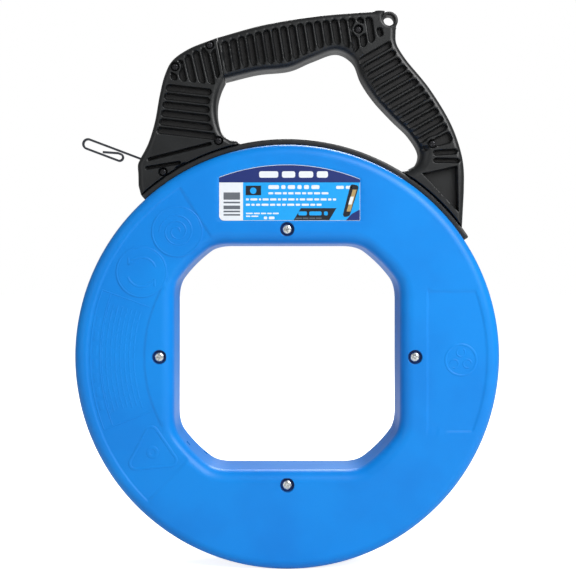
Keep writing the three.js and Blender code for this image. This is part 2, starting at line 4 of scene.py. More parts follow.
import bmesh
import bpy
import numpy as np
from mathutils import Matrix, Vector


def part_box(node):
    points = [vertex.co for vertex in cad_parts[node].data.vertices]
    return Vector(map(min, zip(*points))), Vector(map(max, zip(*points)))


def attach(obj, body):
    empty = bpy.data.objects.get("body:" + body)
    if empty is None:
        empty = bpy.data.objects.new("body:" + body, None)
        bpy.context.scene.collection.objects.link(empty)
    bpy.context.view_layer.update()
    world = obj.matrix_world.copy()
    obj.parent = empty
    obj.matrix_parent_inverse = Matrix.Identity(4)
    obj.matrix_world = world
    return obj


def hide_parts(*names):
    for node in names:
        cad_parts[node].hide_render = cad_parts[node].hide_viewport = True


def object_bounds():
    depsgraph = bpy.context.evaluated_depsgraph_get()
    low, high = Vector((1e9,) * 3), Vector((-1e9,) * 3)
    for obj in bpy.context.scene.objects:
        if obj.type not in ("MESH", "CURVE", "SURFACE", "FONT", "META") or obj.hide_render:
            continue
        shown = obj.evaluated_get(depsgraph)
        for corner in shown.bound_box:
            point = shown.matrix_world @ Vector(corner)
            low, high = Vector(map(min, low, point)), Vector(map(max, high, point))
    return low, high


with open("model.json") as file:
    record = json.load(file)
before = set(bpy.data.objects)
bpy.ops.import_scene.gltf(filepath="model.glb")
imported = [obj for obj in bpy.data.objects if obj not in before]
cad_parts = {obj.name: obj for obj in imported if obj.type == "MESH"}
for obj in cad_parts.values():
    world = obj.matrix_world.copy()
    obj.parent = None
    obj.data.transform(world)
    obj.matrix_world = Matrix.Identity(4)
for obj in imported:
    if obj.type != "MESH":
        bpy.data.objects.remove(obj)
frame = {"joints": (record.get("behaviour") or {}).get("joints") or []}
cad_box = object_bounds()

# Where it is seen from. The camera is level, straight in front of the reel and a little above
# its centre. The reel stands on a pale floor that runs out to a white surround, and the key
# light comes from the upper right. All working is in millimetres about the reel's centre.
MM = 0.001
REEL_CENTRE = np.array(next(j["pos_m"] for j in frame["joints"] if j["name"] == "reel_spin"))
CAMERA_AT = (0.6, -910, 49.4)
LENS = 77.1
SENSOR = 36
FLOOR_HALF = 30000
# Each light: its place, the point it shines at, its width and its power in watts.
LIGHTS = {
    "key_light": ((950, -1250, 1100), (0, 0, 40), 1300, 40),
    "fill_light": ((-1300, -1500, 500), (0, 0, 20), 1400, 4),
    "back_light": ((300, 1400, 1300), (0, 0, 60), 1000, 22),
}
# The surround's strength as a light, and how strongly the floor glows for the camera alone.
SURROUND = 0.3
FLOOR_GLOW = 0.85


def to_row(points):
    """Millimetres about the reel's centre as metres in the part's frame."""
    return REEL_CENTRE + MM * np.asarray(points, float)


def put(name, data):
    """Makes an object of a camera, a light or a mesh and links it into the scene."""
    made = bpy.data.objects.new(name, data)
    bpy.context.scene.collection.objects.link(made)
    return made


def aim(made, at, target):
    """Puts a light or a camera at a place, turned so that its -Z axis meets the target."""
    made.location = to_row(at)
    towards = to_row(target) - to_row(at)
    flat = math.hypot(towards[0], towards[1])
    made.rotation_euler = (math.atan2(flat, -towards[2]), 0, math.atan2(-towards[0], towards[1]))


camera_data = bpy.data.cameras.new("camera")
camera_data.lens = LENS
camera_data.sensor_width = SENSOR
camera = put("camera", camera_data)
bpy.context.scene.camera = camera
aim(camera, CAMERA_AT, (CAMERA_AT[0], 0, CAMERA_AT[2]))
for light_name, (light_at, target, width, watts) in LIGHTS.items():
    light_data = bpy.data.lights.new(light_name, "AREA")
    light_data.shape = "DISK"
    light_data.size = width * MM
    light_data.energy = watts
    aim(put(light_name, light_data), light_at, target)


class Wire:
    """A socket in a node tree. Sums, differences and products of wires add Math nodes."""

    def __init__(self, tree, socket=None):
        self.tree = tree
        self.socket = socket

    def node(self, kind, settings=None, inputs=None, output=0):
        """Adds a node: its settings first, then a value or a wire for each of its sockets."""
        made = self.tree.nodes.new(kind)
        for name, value in (settings or {}).items():
            setattr(made, name, value)
        for key, value in (inputs or {}).items():
            if isinstance(value, Wire):
                self.tree.links.new(value.socket, made.inputs[key])
            else:
                made.inputs[key].default_value = value
        return Wire(self.tree, made.outputs[output])

    def maths(self, operation, *values):
        """A Math node of that operation on some values."""
        return self.node("ShaderNodeMath", {"operation": operation}, dict(enumerate(values)))

    def __add__(self, other):
        return self.maths("ADD", self, other)

    __radd__ = __add__

    def __mul__(self, other):
        return self.maths("MULTIPLY", self, other)

    __rmul__ = __mul__

    def __sub__(self, other):
        return self.maths("SUBTRACT", self, other)

    def __rsub__(self, other):
        return self.maths("SUBTRACT", other, self)

    def step(self, low, high):
        """0 below low, 1 above high and a smooth rise between them."""
        settings = {"interpolation_type": "SMOOTHSTEP"}
        return self.node("ShaderNodeMapRange", settings, {0: self, 1: low, 2: high})

    def blend(self, first, second):
        """The first colour where this is 0, the second where it is 1."""
        colours = {6: first, 7: second}
        given = {k: c if isinstance(c, Wire) else (*c, 1) for k, c in colours.items()}
        return self.node("ShaderNodeMix", {"data_type": "RGBA"}, {0: self, **given}, output=2)


def finish(name, **constants):
    """A material with constants for its shader, and a wire to start its pattern with."""
    material = bpy.data.materials.new(name)
    material.use_nodes = True
    shader = material.node_tree.nodes["Principled BSDF"]
    for key, value in constants.items():
        shader.inputs[key.replace("_", " ").title().replace("Ior", "IOR")].default_value = value
    return material, Wire(material.node_tree).node("ShaderNodeTexCoord", output="Object")


def wire_up(material, **wires):
    """Links wires to a material's shader. A height, in millimetres, goes through a Bump node."""
    shader = material.node_tree.nodes["Principled BSDF"]
    for key, wire in wires.items():
        if key == "height":
            bump = {"Strength": 1.0, "Distance": MM, "Height": wire}
            wire, key = wire.node("ShaderNodeBump", None, bump), "normal"
        wire.tree.links.new(wire.socket, shader.inputs[key.replace("_", " ").title()])


def noise(at, size, detail=2.0, stretch=(1, 1, 1)):
    """Noise with spots of about that size in millimetres, from 0 to 1."""
    scaled = at.node("ShaderNodeMapping", None, {"Vector": at, "Scale": stretch})
    inputs = {"Vector": scaled, "Scale": 1 / (size * MM), "Detail": detail}
    return at.node("ShaderNodeTexNoise", None, inputs)


def srgb(*levels):
    """Screen levels from 0 to 255 as a linear colour."""
    share = np.array(levels) / 255
    linear = np.where(share <= 0.04045, share / 12.92, ((share + 0.055) / 1.055) ** 2.4)
    return tuple(float(x) for x in linear)


world = bpy.data.worlds.new("surround")
world.use_nodes = True
bpy.context.scene.world = world
bpy.context.scene.view_settings.view_transform = "Standard"
sky = world.node_tree.nodes["Background"]
seen = Wire(world.node_tree).node("ShaderNodeLightPath", output="Is Camera Ray")
world.node_tree.links.new((seen * (1 - SURROUND) + SURROUND).socket, sky.inputs["Strength"])
sky.inputs["Color"].default_value = (1, 1, 1, 1)

floor_mesh = bpy.data.meshes.new("floor")
floor_z = (cad_box[0][2] - REEL_CENTRE[2]) / MM
corners = [(x * FLOOR_HALF, y * FLOOR_HALF, floor_z) for x, y in ((-1, -1), (1, -1), (1, 1), (-1, 1))]
floor_mesh.from_pydata([tuple(to_row(c)) for c in corners], [], [(0, 1, 2, 3)])
floor = put("floor", floor_mesh)
paper, paper_at = finish("pale_paper", roughness=0.9, emission_color=(1, 1, 1, 1))
grain = noise(paper_at, 40, 3).step(0.3, 0.7)
glow = paper_at.node("ShaderNodeLightPath", output="Is Camera Ray") * FLOOR_GLOW
wire_up(paper, base_color=grain.blend((0.8,) * 3, (0.84,) * 3), emission_strength=glow)
floor_mesh.materials.append(paper)

# The case. Two deep ring-shaped shells of glossy blue ABS, injection moulded, meet at the
# middle plane round the opening and leave the slot in the rim for the guide. The front one
# has shallow fields moulded in its face and four round, flat-floored seats for its screws.
BLUE = srgb(0, 126, 211)
BLUE_DEEP = srgb(0, 118, 203)
SEAT_SHADE = srgb(0, 38, 92)
OPENING_RADIUS = 96
OPENING_FLAT = 81
OPENING_BLEND = 5
OPENING_FILLET = 9
RIM_FILLET = 7.5
WALL = 2.8
SLOT_HALF = 5
LIP = 0.6
PARTING = 0.15
FIELD_DEPTH = 0.6
FIELD_EDGE = 1.4
SECTOR = {"from": 122.3, "to": 226, "inner": 102, "outer": 143}
PAD = {"left": 100.2, "top": 47, "bottom": -53, "radius": 142.6}
ROUND_PADS = [(-78.6, 89.7), (-104.0, 60.8)]
ROUND_PAD_RADIUS = 17.6
ROUND_PAD_RISE = 0.35
SEAT_RADIUS = 5.1
SEAT_DEPTH = 3.2
SEAT_LIP = 0.4
SEAT_MARGIN = 0.9
SEAT_RINGS = 4
FACE_ROWS = 78
FILLET_ROWS = 9
INNER_ROWS = 8
# Windows through the hub wall: the direction, and the depths they lie between.
WINDOW_WIDTH = 3.5
FRONT_WINDOWS = [(221.5, 8.75, 13.25)]
REAR_WINDOWS = [(230.5, 13.75, 18.25), (37, 18.6, 23)]
HUB_DEPTHS = [PARTING, 0.5, 4.5, 8.75, 11, 13.25, 13.75, 16, 18.25, 18.6, 20.8]


def extent(node):
    """A CAD node's lowest and highest corners, in millimetres about the reel's centre."""
    return [(np.array(corner) - REEL_CENTRE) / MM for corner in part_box(node)]


case_low, case_high = extent("front_case_half")
CASE_RADIUS = case_high[0]
HALF_WIDTH = -case_low[1]
LABEL_LOW, LABEL_HIGH = extent("label")
LABEL_RADIUS = LABEL_HIGH[2]
LABEL_MARGIN = 0.4
SCREW_CIRCLE = np.mean([corner[0] for corner in extent("case_screw_right")])


class Skin:
    """Points and faces gathered for one piece, in millimetres about the reel's centre."""

    def __init__(self):
        self.points = []
        self.faces = []
        self.count = 0

    def add(self, points):
        """Adds an array of points and gives their numbers in the same layout."""
        points = np.asarray(points, float)
        flat = points.reshape(-1, 3)
        numbers = np.arange(self.count, self.count + len(flat)).reshape(points.shape[:-1])
        self.points.append(flat)
        self.count += len(flat)
        return numbers

    def quads(self, numbers, keep=None):
        """Joins a grid of point numbers into four-sided faces, where keep allows them."""
        here, right = numbers[:-1, :-1], numbers[:-1, 1:]
        across, below = numbers[1:, 1:], numbers[1:, :-1]
        made = np.stack([here, right, across, below], -1)
        self.faces.extend((made.reshape(-1, 4) if keep is None else made[keep]).tolist())

    def cap(self, loop):
        """One face round a loop of point numbers."""
        self.faces.append(np.asarray(loop).tolist())

    def fan(self, loop, point):
        """Triangles from a closed loop's numbers to one more point."""
        middle = int(self.add([point])[0])
        self.faces.extend([a, b, middle] for a, b in zip(loop.tolist(), np.roll(loop, -1).tolist()))

    def tube(self, points):
        """A grid of points whose rows close on themselves, with a face over each end."""
        numbers = self.add(points)
        self.quads(hooped(numbers))
        self.cap(numbers[0])
        self.cap(numbers[-1])

    def piece(self, name, body, slot, material, nodes=(), sharp=40):
        """Makes the object with its faces turned outwards, smooth but for its sharp edges."""
        mesh = bpy.data.meshes.new(name)
        mesh.from_pydata(to_row(np.concatenate(self.points)), [], self.faces)
        shell = bmesh.new()
        shell.from_mesh(mesh)
        bmesh.ops.recalc_face_normals(shell, faces=shell.faces)
        shell.to_mesh(mesh)
        shell.free()
        mesh.shade_smooth()
        mesh.set_sharp_from_angle(angle=math.radians(sharp))
        mesh.materials.append(material)
        made = put(name, mesh)
        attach(made, body)
        if nodes:
            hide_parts(*nodes)
        return made


def stand(flat, depth, side=1):
    """Points in the reel's plane at a depth in front of the middle plane, or behind it."""
    return np.stack([flat[..., 0], -side * depth + 0 * flat[..., 0], flat[..., 1]], -1)


def polar(turn, radius):
    """Points in the reel's plane at a direction in degrees and a distance from the centre."""
    return np.stack([radius * np.cos(np.radians(turn)), radius * np.sin(np.radians(turn))], -1)


def circles(centre, turn, radius, depth, side=1):
    """Circles about a place: rows of points at some directions, each row with its own radius
    and depth."""
    return stand(centre + polar(turn, radius), depth + 0 * turn, side)


def border(numbers, top, bottom, left, right):
    """The numbers round a rectangle of a grid, in order, each once."""
    down = numbers[top:bottom, right]
    return np.concatenate(
        [numbers[top, left:right], down, numbers[bottom, right:left:-1], numbers[bottom:top:-1, left]]
    )


def gap_to(flat, place):
    """The distance from each point to one place."""
    return np.hypot(*np.moveaxis(flat - place, -1, 0))


def hooped(numbers):
    """A grid with its first column repeated after its last."""
    return np.pad(numbers, ((0, 0), (0, 1)), mode="wrap")


def closed(numbers):
    """A grid with its first column and first row repeated after its last."""
    return np.pad(numbers, ((0, 1), (0, 1)), mode="wrap")


def soft_step(distance, width):
    """0 where a distance is below minus half the width, 1 above plus half, smooth between."""
    share = np.clip(distance / width + 0.5, 0, 1)
    return share * share * (3 - 2 * share)


def opening(turn, offset):
    """From the axis to the opening's edge moved outwards: four flats and four arcs, the
    nearer of the two, with the corners between them blended."""
    fold = np.abs((turn + 135) % 90 - 45)
    flat = (OPENING_FLAT + offset) / np.cos(np.radians(fold))
    arc = OPENING_RADIUS + offset
    share = np.maximum(OPENING_BLEND - np.abs(flat - arc), 0) / OPENING_BLEND
    return np.minimum(flat, arc) - share**2 * OPENING_BLEND / 4


def sunk(flat):
    """How far the front face is sunk at a point: the depth of the fields, stepped softly at
    their edges, less the rise of the two round pads."""
    x, z = flat[..., 0], flat[..., 1]
    far = np.hypot(x, z)
    turn = np.degrees(np.arctan2(z, x)) % 360
    from_start, to_end = np.radians(turn - SECTOR["from"]) * far, np.radians(SECTOR["to"] - turn) * far
    sector = [far - SECTOR["inner"], SECTOR["outer"] - far, from_start, to_end]
    pad = [x - PAD["left"], PAD["top"] - z, z - PAD["bottom"], PAD["radius"] - far]
    bed = [x - LABEL_LOW[0], LABEL_HIGH[0] - x, z - LABEL_LOW[2], LABEL_RADIUS - far]
    bed = [distance + LABEL_MARGIN for distance in bed]
    inside = np.maximum.reduce([np.minimum.reduce(edges) for edges in (sector, pad, bed)])
    depth = FIELD_DEPTH * soft_step(inside, FIELD_EDGE)
    for centre in ROUND_PADS:
        depth = depth - ROUND_PAD_RISE * soft_step(ROUND_PAD_RADIUS - gap_to(flat, centre), FIELD_EDGE)
    return depth


def flat_side_depth(flat):
    """The face's depth beside one of the opening's flats, down its fillet's quarter circle."""
    offset = np.abs(flat).max(-1) - OPENING_FLAT
    into = np.clip(OPENING_FILLET - offset, 0, OPENING_FILLET)
    return HALF_WIDTH - OPENING_FILLET + np.sqrt(OPENING_FILLET**2 - into**2)


def seat(skin, numbers, flat, keep, centre):
    """A round screw seat: the grid's faces round it make way for rings that run from the gap's
    border to the lip's circle, over a small round, down the wall and in to the middle."""
    near = gap_to(flat, centre) < SEAT_RADIUS + SEAT_MARGIN
    rows, columns = np.nonzero(near)
    box = (rows.min(), rows.max(), columns.min(), columns.max())
    keep[box[0] : box[1], box[2] : box[3]] = False
    edge = border(numbers, *box)
    start = flat.reshape(-1, 2)[border(np.arange(flat[..., 0].size).reshape(near.shape), *box)]
    turn = np.degrees(np.arctan2(start[:, 1] - centre[1], start[:, 0] - centre[0]))
    lip = centre + polar(turn, SEAT_RADIUS + SEAT_LIP)
    rings = [edge]
    for share in np.linspace(0, 1, SEAT_RINGS)[1:]:
        across = start + share * (lip - start)
        rings.append(skin.add(stand(across, flat_side_depth(across))))
    top = flat_side_depth(lip)
    floor_depth = HALF_WIDTH - SEAT_DEPTH
    for fall in (30, 60, 90):
        round_in = SEAT_RADIUS + SEAT_LIP * (1 - math.sin(math.radians(fall)))
        drop = SEAT_LIP * (1 - math.cos(math.radians(fall)))
        rings.append(skin.add(circles(centre, turn, round_in, top - drop)))
    for radius, depth in ((0, LIP), (LIP / 3, LIP / 3), (LIP, 0), (SEAT_RADIUS / 2, 0)):
        rings.append(skin.add(circles(centre, turn, SEAT_RADIUS - radius, floor_depth + depth)))
    skin.quads(hooped(np.array(rings)))
    skin.fan(rings[-1], [centre[0], -floor_depth, centre[1]])


def graded(stretches, end):
    """Steps of a chosen size along each stretch, given as where it starts and its step."""
    starts = [start for start, _ in stretches] + [end]
    runs = [
        np.linspace(a, b, max(1, round((b - a) / step)), endpoint=False)
        for (a, step), b in zip(stretches, starts[1:])
    ]
    return np.concatenate(runs)


half_window = math.degrees(math.asin(WINDOW_WIDTH / 2 / (OPENING_RADIUS + WALL / 2)))
# Where round the case the columns change their step: fine over the fields, the windows and
# the screw seats, wide between them.
STEPS_FROM = [(-40, 1.25), (-25, 0.42), (25, 1.2), (37 - half_window, 0.5), (37 + half_window, 1.2)]
STEPS_FROM += [(66, 0.4), (112, 1), (121, 0.4), (221.5 - half_window, 0.5), (221.5 + half_window, 0.42)]
STEPS_FROM += [(227, 1.2), (230.5 - half_window, 0.5), (230.5 + half_window, 1.2), (264, 0.5), (276, 1.25)]
TURNS = graded(STEPS_FROM, 320)


def case_half(name, side, windows):
    """One case half: its section carried once round the axis. Section points by the hub
    follow the opening's edge and those by the rim the outer radius; the face runs straight
    from one to the other, and the front's face is sunk at its fields."""
    rounding = np.radians(np.linspace(0, 90, FILLET_ROWS))[:, None]
    inside = np.radians(np.linspace(0, 90, FILLET_ROWS // 2))[:, None]
    walls = np.array(HUB_DEPTHS)[:, None]
    hub_centre, rim_centre = HALF_WIDTH - OPENING_FILLET, HALF_WIDTH - RIM_FILLET
    small, rim_small = OPENING_FILLET - WALL, RIM_FILLET - WALL
    hub_edge, rim_edge = opening(TURNS, OPENING_FILLET), CASE_RADIUS - RIM_FILLET
    over = np.linspace(0, 1, FACE_ROWS)[1:-1, None]
    under = np.linspace(1, 0, INNER_ROWS)[1:-1, None]
    lips = np.array([(0, 12), (0, 2), (0, LIP), (0.3 * LIP, 0.3 * LIP), (LIP, 0)])
    lips = np.concatenate([lips, [WALL, 0] + [-1, 1] * lips[2:][::-1]])
    hub_out, rim_out = OPENING_FILLET * np.sin(rounding), RIM_FILLET * np.sin(rounding[::-1])
    hub_round = opening(TURNS, OPENING_FILLET * (1 - np.cos(rounding)))
    hub_inner = opening(TURNS, OPENING_FILLET - small * np.cos(inside[::-1]))
    bands = [
        (opening(TURNS, 0 * walls), walls),
        (hub_round, hub_centre + hub_out),
        (hub_edge + over * (rim_edge - hub_edge), HALF_WIDTH),
        (rim_edge + RIM_FILLET * np.cos(rounding[::-1]), rim_centre + rim_out),
        (CASE_RADIUS - lips[:, :1], SLOT_HALF + lips[:, 1:]),
        (rim_edge + rim_small * np.cos(inside), rim_centre + rim_small * np.sin(inside)),
        (hub_edge + under * (rim_edge - hub_edge), HALF_WIDTH - WALL),
        (hub_inner, hub_centre + small * np.sin(inside[::-1])),
        (opening(TURNS, WALL + 0 * walls), walls[::-1]),
    ]
    shaped = [np.broadcast_arrays(radius, depth, TURNS)[:2] for radius, depth in bands]
    radius = np.concatenate([band[0] for band in shaped])
    depth = np.concatenate([band[1] for band in shaped])
    flat = polar(TURNS, radius)
    face = slice(len(walls), len(walls) + FILLET_ROWS + FACE_ROWS - 2)
    if side > 0:
        depth[face] = depth[face] - sunk(flat[face]) * (depth[face] > HALF_WIDTH - LIP)
    skin = Skin()
    numbers = skin.add(stand(flat, depth, side))
    keep = np.ones(numbers.shape, bool)
    rows = len(numbers)
    for turn, low, high in windows:
        marks = np.array(HUB_DEPTHS + [hub_centre])
        top, bottom = (int(np.abs(marks - at).argmin()) for at in (low, high))
        left, right = (int(np.abs(TURNS - turn - way * half_window).argmin()) for way in (-1, 1))
        keep[top:bottom, left:right] = False
        keep[rows - 1 - bottom : rows - 1 - top, left:right] = False
        outer = border(numbers, top, bottom, left, right)
        inner = border(numbers[::-1], top, bottom, left, right)
        skin.quads(hooped(np.stack([outer, inner])))
    if side > 0:
        for turn in (0, 90, 180, 270):
            seat(skin, numbers[face], flat[face], keep[face], polar(turn, SCREW_CIRCLE))
    skin.quads(closed(numbers), keep)
    return skin.piece(name, "reel", "case_blue", blue, [name.replace("_shell", "_half")])


blue, blue_at = finish("glossy_blue_abs", specular_ior_level=0.27)
cloud = noise(blue_at, 60, 3).step(0.35, 0.65)
orange_peel = noise(blue_at, 1.1, 2)
# Painted shade darkens the four screw seats, and the same places on the rear face: near either of a pair of
# places on each axis.
centred = blue_at.node("ShaderNodeVectorMath", {"operation": "SUBTRACT"}, {0: blue_at, 1: tuple(REEL_CENTRE)})
split = {axis: centred.node("ShaderNodeSeparateXYZ", inputs={0: centred}, output=axis) for axis in (0, 2)}
away_x, away_z = (split[axis].maths("ABSOLUTE", split[axis]) for axis in (0, 2))
screw_at = SCREW_CIRCLE * MM
from_side = away_x.maths("POWER", away_x - screw_at, 2) + away_z * away_z
from_top = away_x.maths("POWER", away_z - screw_at, 2) + away_x * away_x
from_seat = from_side.maths("SQRT", from_side.maths("MINIMUM", from_side, from_top))
# 0 in a seat, which gets the painted shade, and 1 outside it.
outside_seat_shade = from_seat.step((SEAT_RADIUS - 0.5) * MM, (SEAT_RADIUS + 0.35) * MM)
wire_up(
    blue,
    base_color=outside_seat_shade.blend(SEAT_SHADE, cloud.blend(BLUE_DEEP, BLUE)),
    roughness=noise(blue_at, 9, 4) * 0.08 + 0.36,
    height=orange_peel * 0.02,
)
case_half("front_case_shell", 1, FRONT_WINDOWS)
case_half("rear_case_shell", -1, REAR_WINDOWS)

# The relief on the front face. Fine raised beads moulded with the case: a spiral and a pair of
# turning arrows on the round pads, lines of plain dashes in a framed block, a rounded
# triangle with a dot, and three part circles in a ring in the right-hand field.
# The beads' widths and heights, and how far their feet are sunk.
BEADS = {"plain": (1.1, 0.16), "arrow": (1.6, 0.16), "pad": (1.4, 0.14), "frame": (0.9, 0.16)}
BEADS |= {"dash": (1.3, 0.12), "title": (3.6, 0.16), "triangle": (2.2, 0.24), "dot": (3, 0.24)}
BEADS |= {"ring": (1.8, 0.22), "petal": (1.2, 0.2)}
BEAD_SUNK = 0.15
BLOCK = {"from": 160, "to": 201.7, "inner": 105, "outer": 140.5}
DASH_ROWS = {"first": 109.5, "pitch": 3.3, "count": 8, "shortest": 2.2, "longest": 8, "gap": 1.5}
TITLE = {"radius": 137.3, "from": 168, "pitch": 4.2, "length": 2.8, "count": 7}
SPIRAL = {"start": 2, "end": 900, "turn_a_mm": 85}
ARROWS = {"radius": 10.5, "sweep": 130, "barb": 5}
TRIANGLE = [(-97.3, -46), (-115.5, -80.5), (-76, -77)]
TRIANGLE_CORNER = 4
EMBLEM = (124, -2)
EMBLEM_RADIUS = 11
PETALS = {"out": 5.4, "radius": 3}
chance = np.random.default_rng(7)
relief = Skin()


def bead(path, kind="plain", base=HALF_WIDTH - FIELD_DEPTH):
    """Adds a low half-round ridge along a flat path, its foot just under the surface."""
    path = np.asarray(path, float)
    width, height = BEADS[kind]
    along = np.gradient(path, axis=0)
    along /= np.hypot(along[:, :1], along[:, 1:])
    beside = np.stack([-along[:, 1], along[:, 0]], -1)
    turn = np.linspace(0, math.pi, 6)
    across = np.append(np.cos(turn), [-1, 1]) * width / 2
    up = np.append(np.sin(turn) * height, [-BEAD_SUNK] * 2)
    flat = path[:, None] + across[:, None] * beside[:, None]
    relief.tube(stand(flat, base + up))


def arc(centre, radius, start, end, steps=24):
    """Points on a circle about a centre, from one direction to another."""
    return np.array(centre) + polar(np.linspace(start, end, steps), radius)


def rounded(corner_points, radius, steps=6):
    """A closed outline with each of its corners turned into an arc of that radius."""
    corner_points = np.asarray(corner_points, float)
    runs = []
    for before, corner, after in zip(
        np.roll(corner_points, 1, 0), corner_points, np.roll(corner_points, -1, 0)
    ):
        to_before, to_after = (way / np.hypot(*way) for way in (before - corner, after - corner))
        half = math.acos(np.clip(to_before @ to_after, -1, 1)) / 2
        bisector = (to_before + to_after) / np.hypot(*(to_before + to_after))
        middle = corner + bisector * radius / math.sin(half)
        back = radius / math.tan(half)
        touches = [corner + way * back - middle for way in (to_before, to_after)]
        first, last = (np.degrees(np.arctan2(z, x)) for x, z in touches)
        last = first + (last - first + 180) % 360 - 180
        runs.append(middle + polar(np.linspace(first, last, steps), radius))
    return np.concatenate(runs)


on_pad = HALF_WIDTH - FIELD_DEPTH + ROUND_PAD_RISE
swirl = np.linspace(0, SPIRAL["end"], 120)
spread = SPIRAL["start"] + swirl / SPIRAL["turn_a_mm"]
bead(np.array(ROUND_PADS[0]) + polar(swirl, spread), base=on_pad)
for start in (20, 200):
    end = start + ARROWS["sweep"]
    curve = arc(ROUND_PADS[1], ARROWS["radius"], start, end)
    bead(curve, "arrow", on_pad)
    for swing in (145, 215):
        bead(curve[-1] + polar(end + 90 + swing, np.linspace(0, ARROWS["barb"], 4)), "arrow", on_pad)
for pad_centre in ROUND_PADS:
    bead(arc(pad_centre, ROUND_PAD_RADIUS, 0, 360, 90), "pad", on_pad - 0.1)
for radius in (BLOCK["outer"], TITLE["radius"] - BEADS["title"][0]):
    bead(arc((0, 0), radius, BLOCK["from"], BLOCK["to"], 70), "frame")
for turn in (BLOCK["from"], BLOCK["to"]):
    bead(polar(turn, np.linspace(BLOCK["inner"], BLOCK["outer"], 12)), "frame")
for row in range(DASH_ROWS["count"]):
    radius = DASH_ROWS["first"] + row * DASH_ROWS["pitch"]
    turn = BLOCK["from"] + 3
    while turn < BLOCK["to"] - 5:
        length = chance.uniform(DASH_ROWS["shortest"], DASH_ROWS["longest"])
        reach = math.degrees(length / radius)
        bead(arc((0, 0), radius, turn, turn + reach, 6), "dash")
        turn += reach + math.degrees(DASH_ROWS["gap"] / radius)
for place in range(TITLE["count"]):
    turn = TITLE["from"] + TITLE["pitch"] * place
    bead(arc((0, 0), TITLE["radius"], turn, turn + TITLE["length"], 6), "title")
outline = rounded(TRIANGLE, TRIANGLE_CORNER)
bead(np.concatenate([outline, outline[:1]]), "triangle")
bead(arc(np.mean(TRIANGLE, 0), 3.2, 0, 360), "dot")
bead(arc(EMBLEM, EMBLEM_RADIUS, 0, 360, 60), "ring")
for start in (90, 210, 330):
    petal = np.array(EMBLEM) + polar(start, PETALS["out"])
    bead(arc(petal, PETALS["radius"], start + 40, start + 320, 20), "petal")
relief.piece("moulded_relief", "reel", "case_blue", blue)

# Case screws. Four zinc-plated pan-head screws with a cross drive, cold headed and turned
# down into the seats, with plain rolled shanks that pass into the rear half's bosses.
CROSS = {"reach": 0.62, "half": 0.16, "depth": 0.62}
DOME = 0.62
# The shanks' radii, and how high a head stands on each.
CASE_SHANK, HANDLE_SHANK = 1.75, 1.5
HEAD_RISE = {CASE_SHANK: 2.2, HANDLE_SHANK: 1.9}


def pan_head(node, shank):
    """A screw in the place of a CAD one: a domed round head with a cross sunk in it, and its
    plain shank. The dome is a flattened sphere on rings, the cross two crossed capsules."""
    skin = Skin()
    low, high = extent(node)
    centre = (low + high)[[0, 2]] / 2
    radius, top = (high[0] - low[0]) / 2, -low[1]
    foot, tip = top - HEAD_RISE[shank], -high[1]
    share = np.concatenate([[0.04], np.linspace(0.1, 0.94, 26), [0.98, 1.0]])[:, None]
    turn = np.linspace(0, 360, 72, endpoint=False)
    flat = polar(turn, share * radius)
    dome = top - (top - foot) * DOME * (1 - np.sqrt(np.clip(1 - share**2, 0, 1))) + 0 * turn
    fold = np.abs(polar((turn + 45) % 90 - 45, share))
    slot = np.hypot(fold[..., 1], np.maximum(fold[..., 0] - CROSS["reach"], 0)) - CROSS["half"]
    depth = dome - CROSS["depth"] * radius / 2.4 * soft_step(-slot, 0.1) * (1 - 0.5 * share)
    rows = [skin.add(stand(centre + flat, depth))]
    for ring, at in ((radius, foot), (shank, foot), (shank, tip + 1), (0.3 * shank, tip)):
        rows.append(skin.add(circles(centre, turn[None], ring, at)))
    skin.quads(hooped(np.concatenate(rows)))
    skin.fan(rows[0][0], [centre[0], -depth[0].mean(), centre[1]])
    skin.fan(rows[-1][0], [centre[0], -tip, centre[1]])
    return skin


zinc, zinc_at = finish("bright_zinc", metallic=1.0)
plate_cloud = noise(zinc_at, 2.5, 3)
wire_up(
    zinc,
    base_color=plate_cloud.blend(srgb(190, 195, 196), srgb(226, 228, 226)),
    roughness=plate_cloud * 0.15 + 0.2,
    height=noise(zinc_at, 0.4) * 0.01,
)
for place_name in ("right", "top", "left", "bottom"):
    node = f"case_screw_{place_name}"
    pan_head(node, CASE_SHANK).piece(f"{node}_headed", "reel", "zinc_steel", zinc, [node], 35)

# The label. A printed polyester film with an arched top, stuck in its bed: a navy band, a
# white panel with bars, and a sky-blue field with plain dashes for lines of print, a dark
# slanted badge and a picture of a hand tester. Each ink is a thin layer on the film.
INK = 0.03
INKS = {
    "white": srgb(216, 222, 228),
    "navy": srgb(14, 36, 104),
    "sky": srgb(0, 152, 226),
    "dark": srgb(8, 14, 26),
    "grey": srgb(92, 98, 106),
    "amber": srgb(168, 142, 92),
}
FILM = 0.25
LABEL_BAND_FOOT = 124.7
LABEL_CORNER = 3.5
PANEL_RIGHT = -31.5
BARS = [(117.6, 112.4), (111, 109.8), (108.2, 105.6), (104.6, 103.4), (102.2, 101)]
# Lines of print: their ink, left and right ends, middle, height and layer.
PRINT = [("white", -20, 31, 130.4, 4.6, 2), ("white", -13.4, 23, 121.4, 2.8, 2)]
PRINT += [("white", 35, 46.8, 121.2, 2.2, 2), ("white", -13.4, 32, 117, 1.5, 2)]
PRINT += [("white", -29.4, 35, 112.6, 1.5, 2), ("white", -29.4, 27, 108.8, 1.5, 2)]
PRINT += [("white", -29.4, -6, 102.6, 1, 2), ("white", -29.4, -20, 100.6, 1, 2)]
PRINT += [("white", -16.6, -6.4, 99.4, 2, 2), ("sky", 8, 29, 102.6, 2.8, 3)]
PRINT += [("grey", 6, 25, 99.2, 0.7, 3), ("grey", -47.4, -46.4, 108, 6, 2)]
label_left, label_right = LABEL_LOW[0], LABEL_HIGH[0]
label_foot, label_face = LABEL_LOW[2], -LABEL_LOW[1] - 4 * INK


